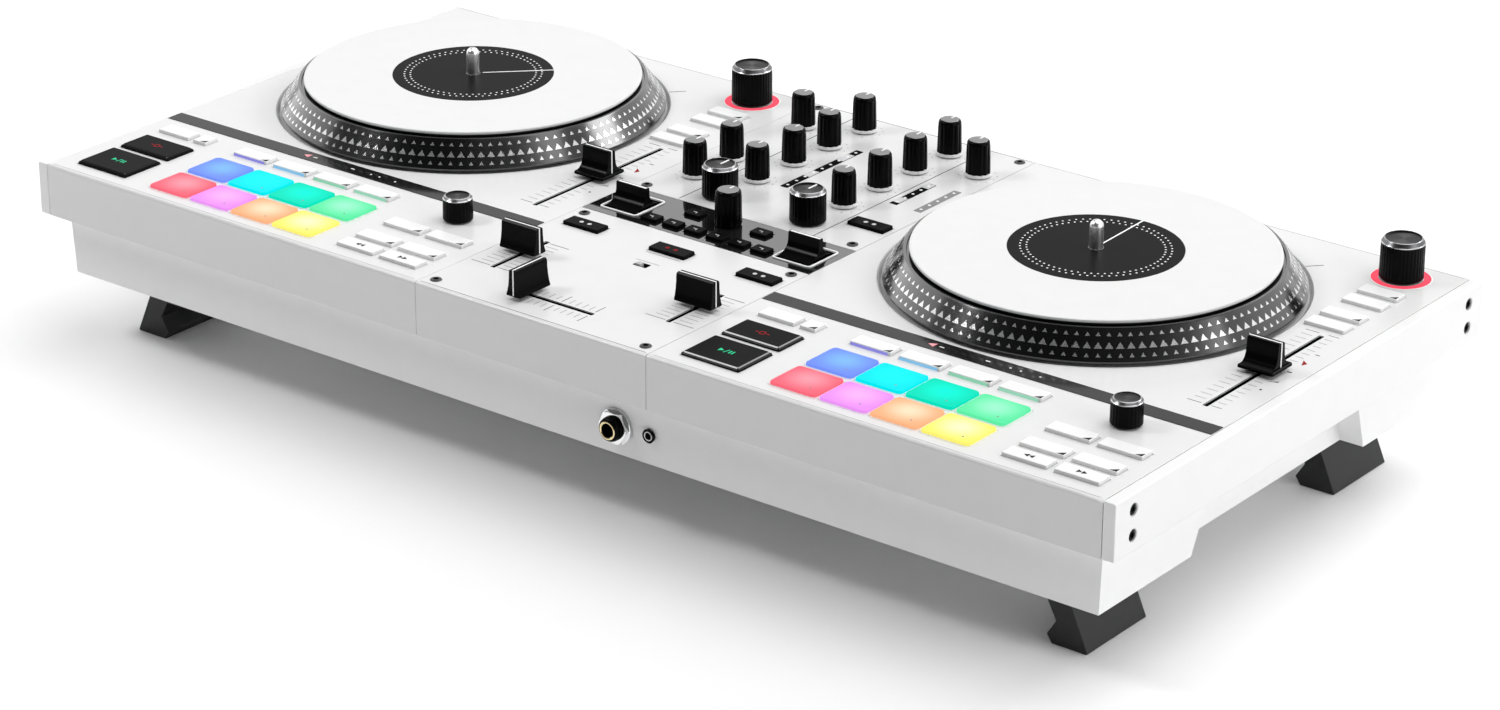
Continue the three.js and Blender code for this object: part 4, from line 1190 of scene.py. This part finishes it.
def mat_sheets(n):
    """Ends of the hidden sheets under a deck's keys: front, side, and round the loop encoder."""
    low, high = local_box(f"deck_keys_{n}")
    encoder = middle(f"loop_encoder_{n}")
    row_start, row_end = MODE_ROW
    rear_x, rear_y = REAR_KEYS
    return [
        (low.x, encoder.x - NOTCH, row_start, row_end),
        (DECK_X[n] + KEYS_X, high.x, low.y, encoder.y - NOTCH),
        (encoder.x + NOTCH, high.x, encoder.y - NOTCH - 1, row_end),
        (high.x - 5, high.x, row_end - 2, high.y),
        (DECK_X[n] + rear_x, high.x, rear_y, high.y),
    ]


def deck_keys(n):
    """Small white keys, most with a dark corner mark. The four mode keys have a lit front."""
    node = f"deck_keys_{n}"
    areas, top = flat_tops(node)
    cx = DECK_X[n]
    with drawn(f"white_keys_{n}", "white_plastic", KEY_WHITE, PRINT_BLACK, node=node) as bm:
        for x, y, width, depth in areas:
            slab(bm, x, y, width, depth, KEY_FOOT, top, corner=0.45, edge=0.3)
            if has_corner(x - cx, y):
                corner_mark(bm, x, y, width, depth, top)
        front_pair = [area[:2] for area in areas if area[1] < FRONT_PAIR_LIMIT]
        for (x, y), side in zip(front_pair, (-1, 1)):
            arrow_marks(bm, x, y, side, top)
        for ends in mat_sheets(n):
            between(bm, *ends, *MAT_LEVELS, corner=1, edge=0.2)
    modes = [area for area in areas if is_mode_key(area[0] - cx, area[1])]
    for i, (x, y, width, depth) in enumerate(modes):
        with drawn(f"mode_lamp_{n}_{i + 1}", "pad_silicone", MODE_LIGHTS[i], body=node) as bm:
            slab(bm, x - 0.4, y - depth / 2 - 0.02, width - 2.2, 0.6, -0.6, top - 0.55, corner=0.2, edge=0.15)


WIDE_KEY = 15


def mixer_keys():
    """Black gloss keys with small generic marks: two dots, or a bent bar."""
    node = "mixer_keys"
    areas, top = flat_tops(node)
    with drawn("black_keys", "black_plastic", KEY_BLACK, GREY_AND_WELL_SHADE, LAMP_DIM_RED, node=node) as bm:
        for x, y, width, depth in areas:
            slab(bm, x, y, width, depth, KEY_FOOT, top, corner=0.9, edge=0.5)
            if width > WIDE_KEY:
                lamp = 2 if abs(x) < 10 else 1
                for side in (-1, 1):
                    disc(bm, x + side * 2.6, y, 1.2, top - 0.05, top + 0.06, 20, slot=lamp, edge=0.02)
            else:
                line(bm, x, y, 2.6, 0.5, 1, top + MARK_RISE)
                line(bm, x + 1.05, y - 0.8, 0.5, 1.6, 1, top + MARK_RISE)
        key_mat(bm, node)


# Sockets ---

FORWARD = Matrix.Rotation(math.pi / 2, 4, "X")
WALL_FACE = 9.2
LARGE_SOCKET_Z = -48.3


def threads(r, z0, z1, pitch=0.7, depth=0.22):
    """Outline points of a threaded barrel, from z0 up to z1."""
    count = int((z1 - z0) / pitch)
    points = []
    for i in range(count):
        points += [(r, z0 + i * pitch), (r - depth, z0 + (i + 0.5) * pitch)]
    return points + [(r, z0 + count * pitch)]


def hex_nut(bm, corner_radius, bore, z0, z1, sides=48):
    """A hexagon nut with chamfered corners."""
    flat = corner_radius * math.cos(math.pi / 6)
    limits = [(corner_radius, z0), (corner_radius, z1 - 0.6), (corner_radius * 0.93, z1)]
    hole = circle(bore, sides)
    outlines = [(z0, hole), *((z, hexagon(flat, sides, limit)) for limit, z in limits), (z1, hole)]
    loft(bm, levelled(outlines), closed=True)


def large_socket():
    """A 6.35 mm socket: washer, hexagon nut, threaded bush, gold nose and a body behind the wall."""
    node = "headphone_socket_large"
    barrel = [(3.7, -6), (5.8, -6), (5.8, 0.1), *threads(6.4, 0.2, 4.8), (6.1, 5.6), (5.6, 6.3), (4.9, 6.6),
              (3.7, 6.6)]
    with drawn("headphone_jack", "chrome", CHROME, SATIN_BLACK, GOLD, BLACK_AND_HOLE_SHADE, node=node,
               at=(middle(node).x, WALL_FACE, LARGE_SOCKET_Z), turn=FORWARD) as bm:
        lathe(bm, [(6.3, -0.05), (9.4, -0.05), (9.6, 0.15), (9.5, 0.6), (9.2, 0.8), (6.3, 0.8)], 64)
        hex_nut(bm, 9.1, 6.45, 0.8, 3.0)
        lathe(bm, barrel, 48, slot=1)
        lathe(bm, [(3.7, 6.2), (4.8, 6.2), (4.8, 6.8), (4.5, 7.0), (4.1, 7.0), (3.7, 6.7)], 48, slot=2)
        # A black plug in the bore: painted shade inside the hole.
        lathe(bm, [(0, -21), (3.45, -21), (3.45, -6), (0, -6.5)], 32, slot=3)
        slab(bm, 0, 0, 16, 15, -26, -4.4, corner=1, edge=0.4, slot=1)


def small_socket():
    """A 3.5 mm socket: thin round rim, metal bush and a body behind the wall."""
    node = "headphone_socket_small"
    spot = middle(node)
    with drawn("small_headphone_jack", "black_plastic", SATIN_BLACK, SILVER_AND_EDGE_HIGHLIGHT, BLACK_AND_HOLE_SHADE, node=node,
               at=(spot.x, WALL_FACE, spot.z), turn=FORWARD) as bm:
        lathe(bm, [(2.5, -0.05), (3.6, -0.05), (3.65, 0.5), (3.4, 0.8), (2.7, 0.85), (2.5, 0.6)], 48)
        lathe(bm, [(1.85, -6), (2.6, -6), (2.6, 0.55), (2.4, 0.7), (2.0, 0.7), (1.85, 0.5)], 48, slot=1)
        # A black plug in the bore: painted shade inside the hole.
        lathe(bm, [(0, -14), (1.9, -14), (1.9, -5), (0, -5)], 24, slot=2)
        slab(bm, 0, 0, 9, 9, -17, -4.6, corner=0.6, edge=0.3)


KEPT_FINISHES = {"main_board": BOARD, "motor_1": STEEL, "motor_2": STEEL, "rear_connectors": SATIN_BLACK}


def internals():
    """Better finishes for the pieces that stay as the frame has them."""
    for node, finish in KEPT_FINISHES.items():
        for slot in frame["nodes"][node].material_slots:
            slot.material = finish


# Studio ---

FLOOR_HALF = 9.0
FLOOR_THICKNESS = 0.02


def area_light(name, place, size, power):
    """A soft light that faces the middle of the top."""
    data = bpy.data.lights.new(name, "AREA")
    data.shape = "RECTANGLE"
    data.size, data.size_y = size
    data.energy = power
    light = in_scene(name, data)
    light.location = place
    light.rotation_euler = (Vector((0, 0, SURFACE)) - Vector(place)).to_track_quat("-Z", "Y").to_euler()


def sky():
    """A white cyclorama: bright near the horizon at the back, dim overhead and at the front."""
    world = bpy.data.worlds.new("studio")
    world.use_nodes = True
    tree = world.node_tree
    where = add_node(tree, "TexCoord").outputs["Generated"]
    split = add_node(tree, "SeparateXYZ", Vector=where).outputs
    upright = add_node(tree, "MapRange", Value=split["Z"], From_Min=0.4, From_Max=0.75, To_Min=1.0,
                       To_Max=0.2)
    across = add_node(tree, "MapRange", Value=split["Y"], From_Min=-0.6, From_Max=0.4, To_Min=0.12,
                      To_Max=1.0)
    product = add_node(tree, "Math", {"operation": "MULTIPLY"})
    for socket, share in zip(product.inputs, (upright, across)):
        tree.links.new(share.outputs["Result"], socket)
    fill(tree.nodes["Background"], Strength=product.outputs["Value"], Color=(1, 1, 1, 1))
    bpy.context.scene.world = world


def studio():
    bm = bmesh.new()
    corners = [(FLOOR_HALF * sx, FLOOR_HALF * sy) for sx, sy in ((-1, -1), (1, -1), (1, 1), (-1, 1))]
    prism(bm, corners, -FLOOR_THICKNESS, 0)
    mesh = bpy.data.meshes.new("studio_floor")
    bm.to_mesh(mesh)
    bm.free()
    mesh.materials.append(material("floor_paper", (0.97, 0.97, 0.97), 0.8, tone=0.002, grain=40, bump=0.01))
    in_scene("studio_floor", mesh)
    sky()
    area_light("overhead", (0.3, 0.4, 2.0), (2.4, 1.8), 29)
    area_light("left_side", (-1.6, 0.05, 0.62), (1.5, 1.1), 4)
    area_light("right_side", (2.2, 0.1, 0.9), (1.6, 1.2), 13)
    area_light("front_bend", (-0.95, -0.68, 1.32), (0.5, 0.4), 9.5)
    area_light("rear_edge", (0.6, 1.3, 1.1), (1.1, 0.4), 9)
    bpy.context.scene.view_settings.view_transform = "Standard"


# The viewing angle: angles in degrees about a point on the top surface, and lengths in millimetres.
VIEW = {"azimuth": 37.859, "elevation": 23.456, "roll": 0.214, "distance": 2245.3,
        "shift": (3.90, -71.34), "aim_y": 170.0}
SENSOR = 36
LENS = 104.2968


def camera():
    azimuth, elevation, roll = (math.radians(VIEW[k]) for k in ("azimuth", "elevation", "roll"))
    facing = Matrix.Rotation(azimuth, 4, "Z") @ Matrix.Rotation(math.pi / 2 - elevation, 4, "X")
    turn = facing @ Matrix.Rotation(roll, 4, "Z")
    place = Vector((0, VIEW["aim_y"], 0)) + turn @ Vector((*VIEW["shift"], VIEW["distance"]))
    data = bpy.data.cameras.new("camera")
    data.lens = LENS
    data.sensor_width = SENSOR
    data.clip_start, data.clip_end = 0.1, 50
    cam = in_scene("camera", data)
    cam.matrix_world = Matrix.Translation(TO_ROW @ place) @ turn
    bpy.context.scene.camera = cam


for make in (camera, studio, casing, feet, screws, mixer_prints, meters, slide_switch, lamp_rings,
             mixer_keys, knobs, large_socket, small_socket, internals):
    make()
for number in DECKS:
    for make in (tempo_prints, deck_lamps, deck_strip, surround, platter, strobe_marks, record, spindle,
                 fader_caps, paddle, big_keys, pads, deck_keys):
        make(number)
volume_cap("crossfader", turn=Matrix.Rotation(math.pi / 2, 4, "Z"))
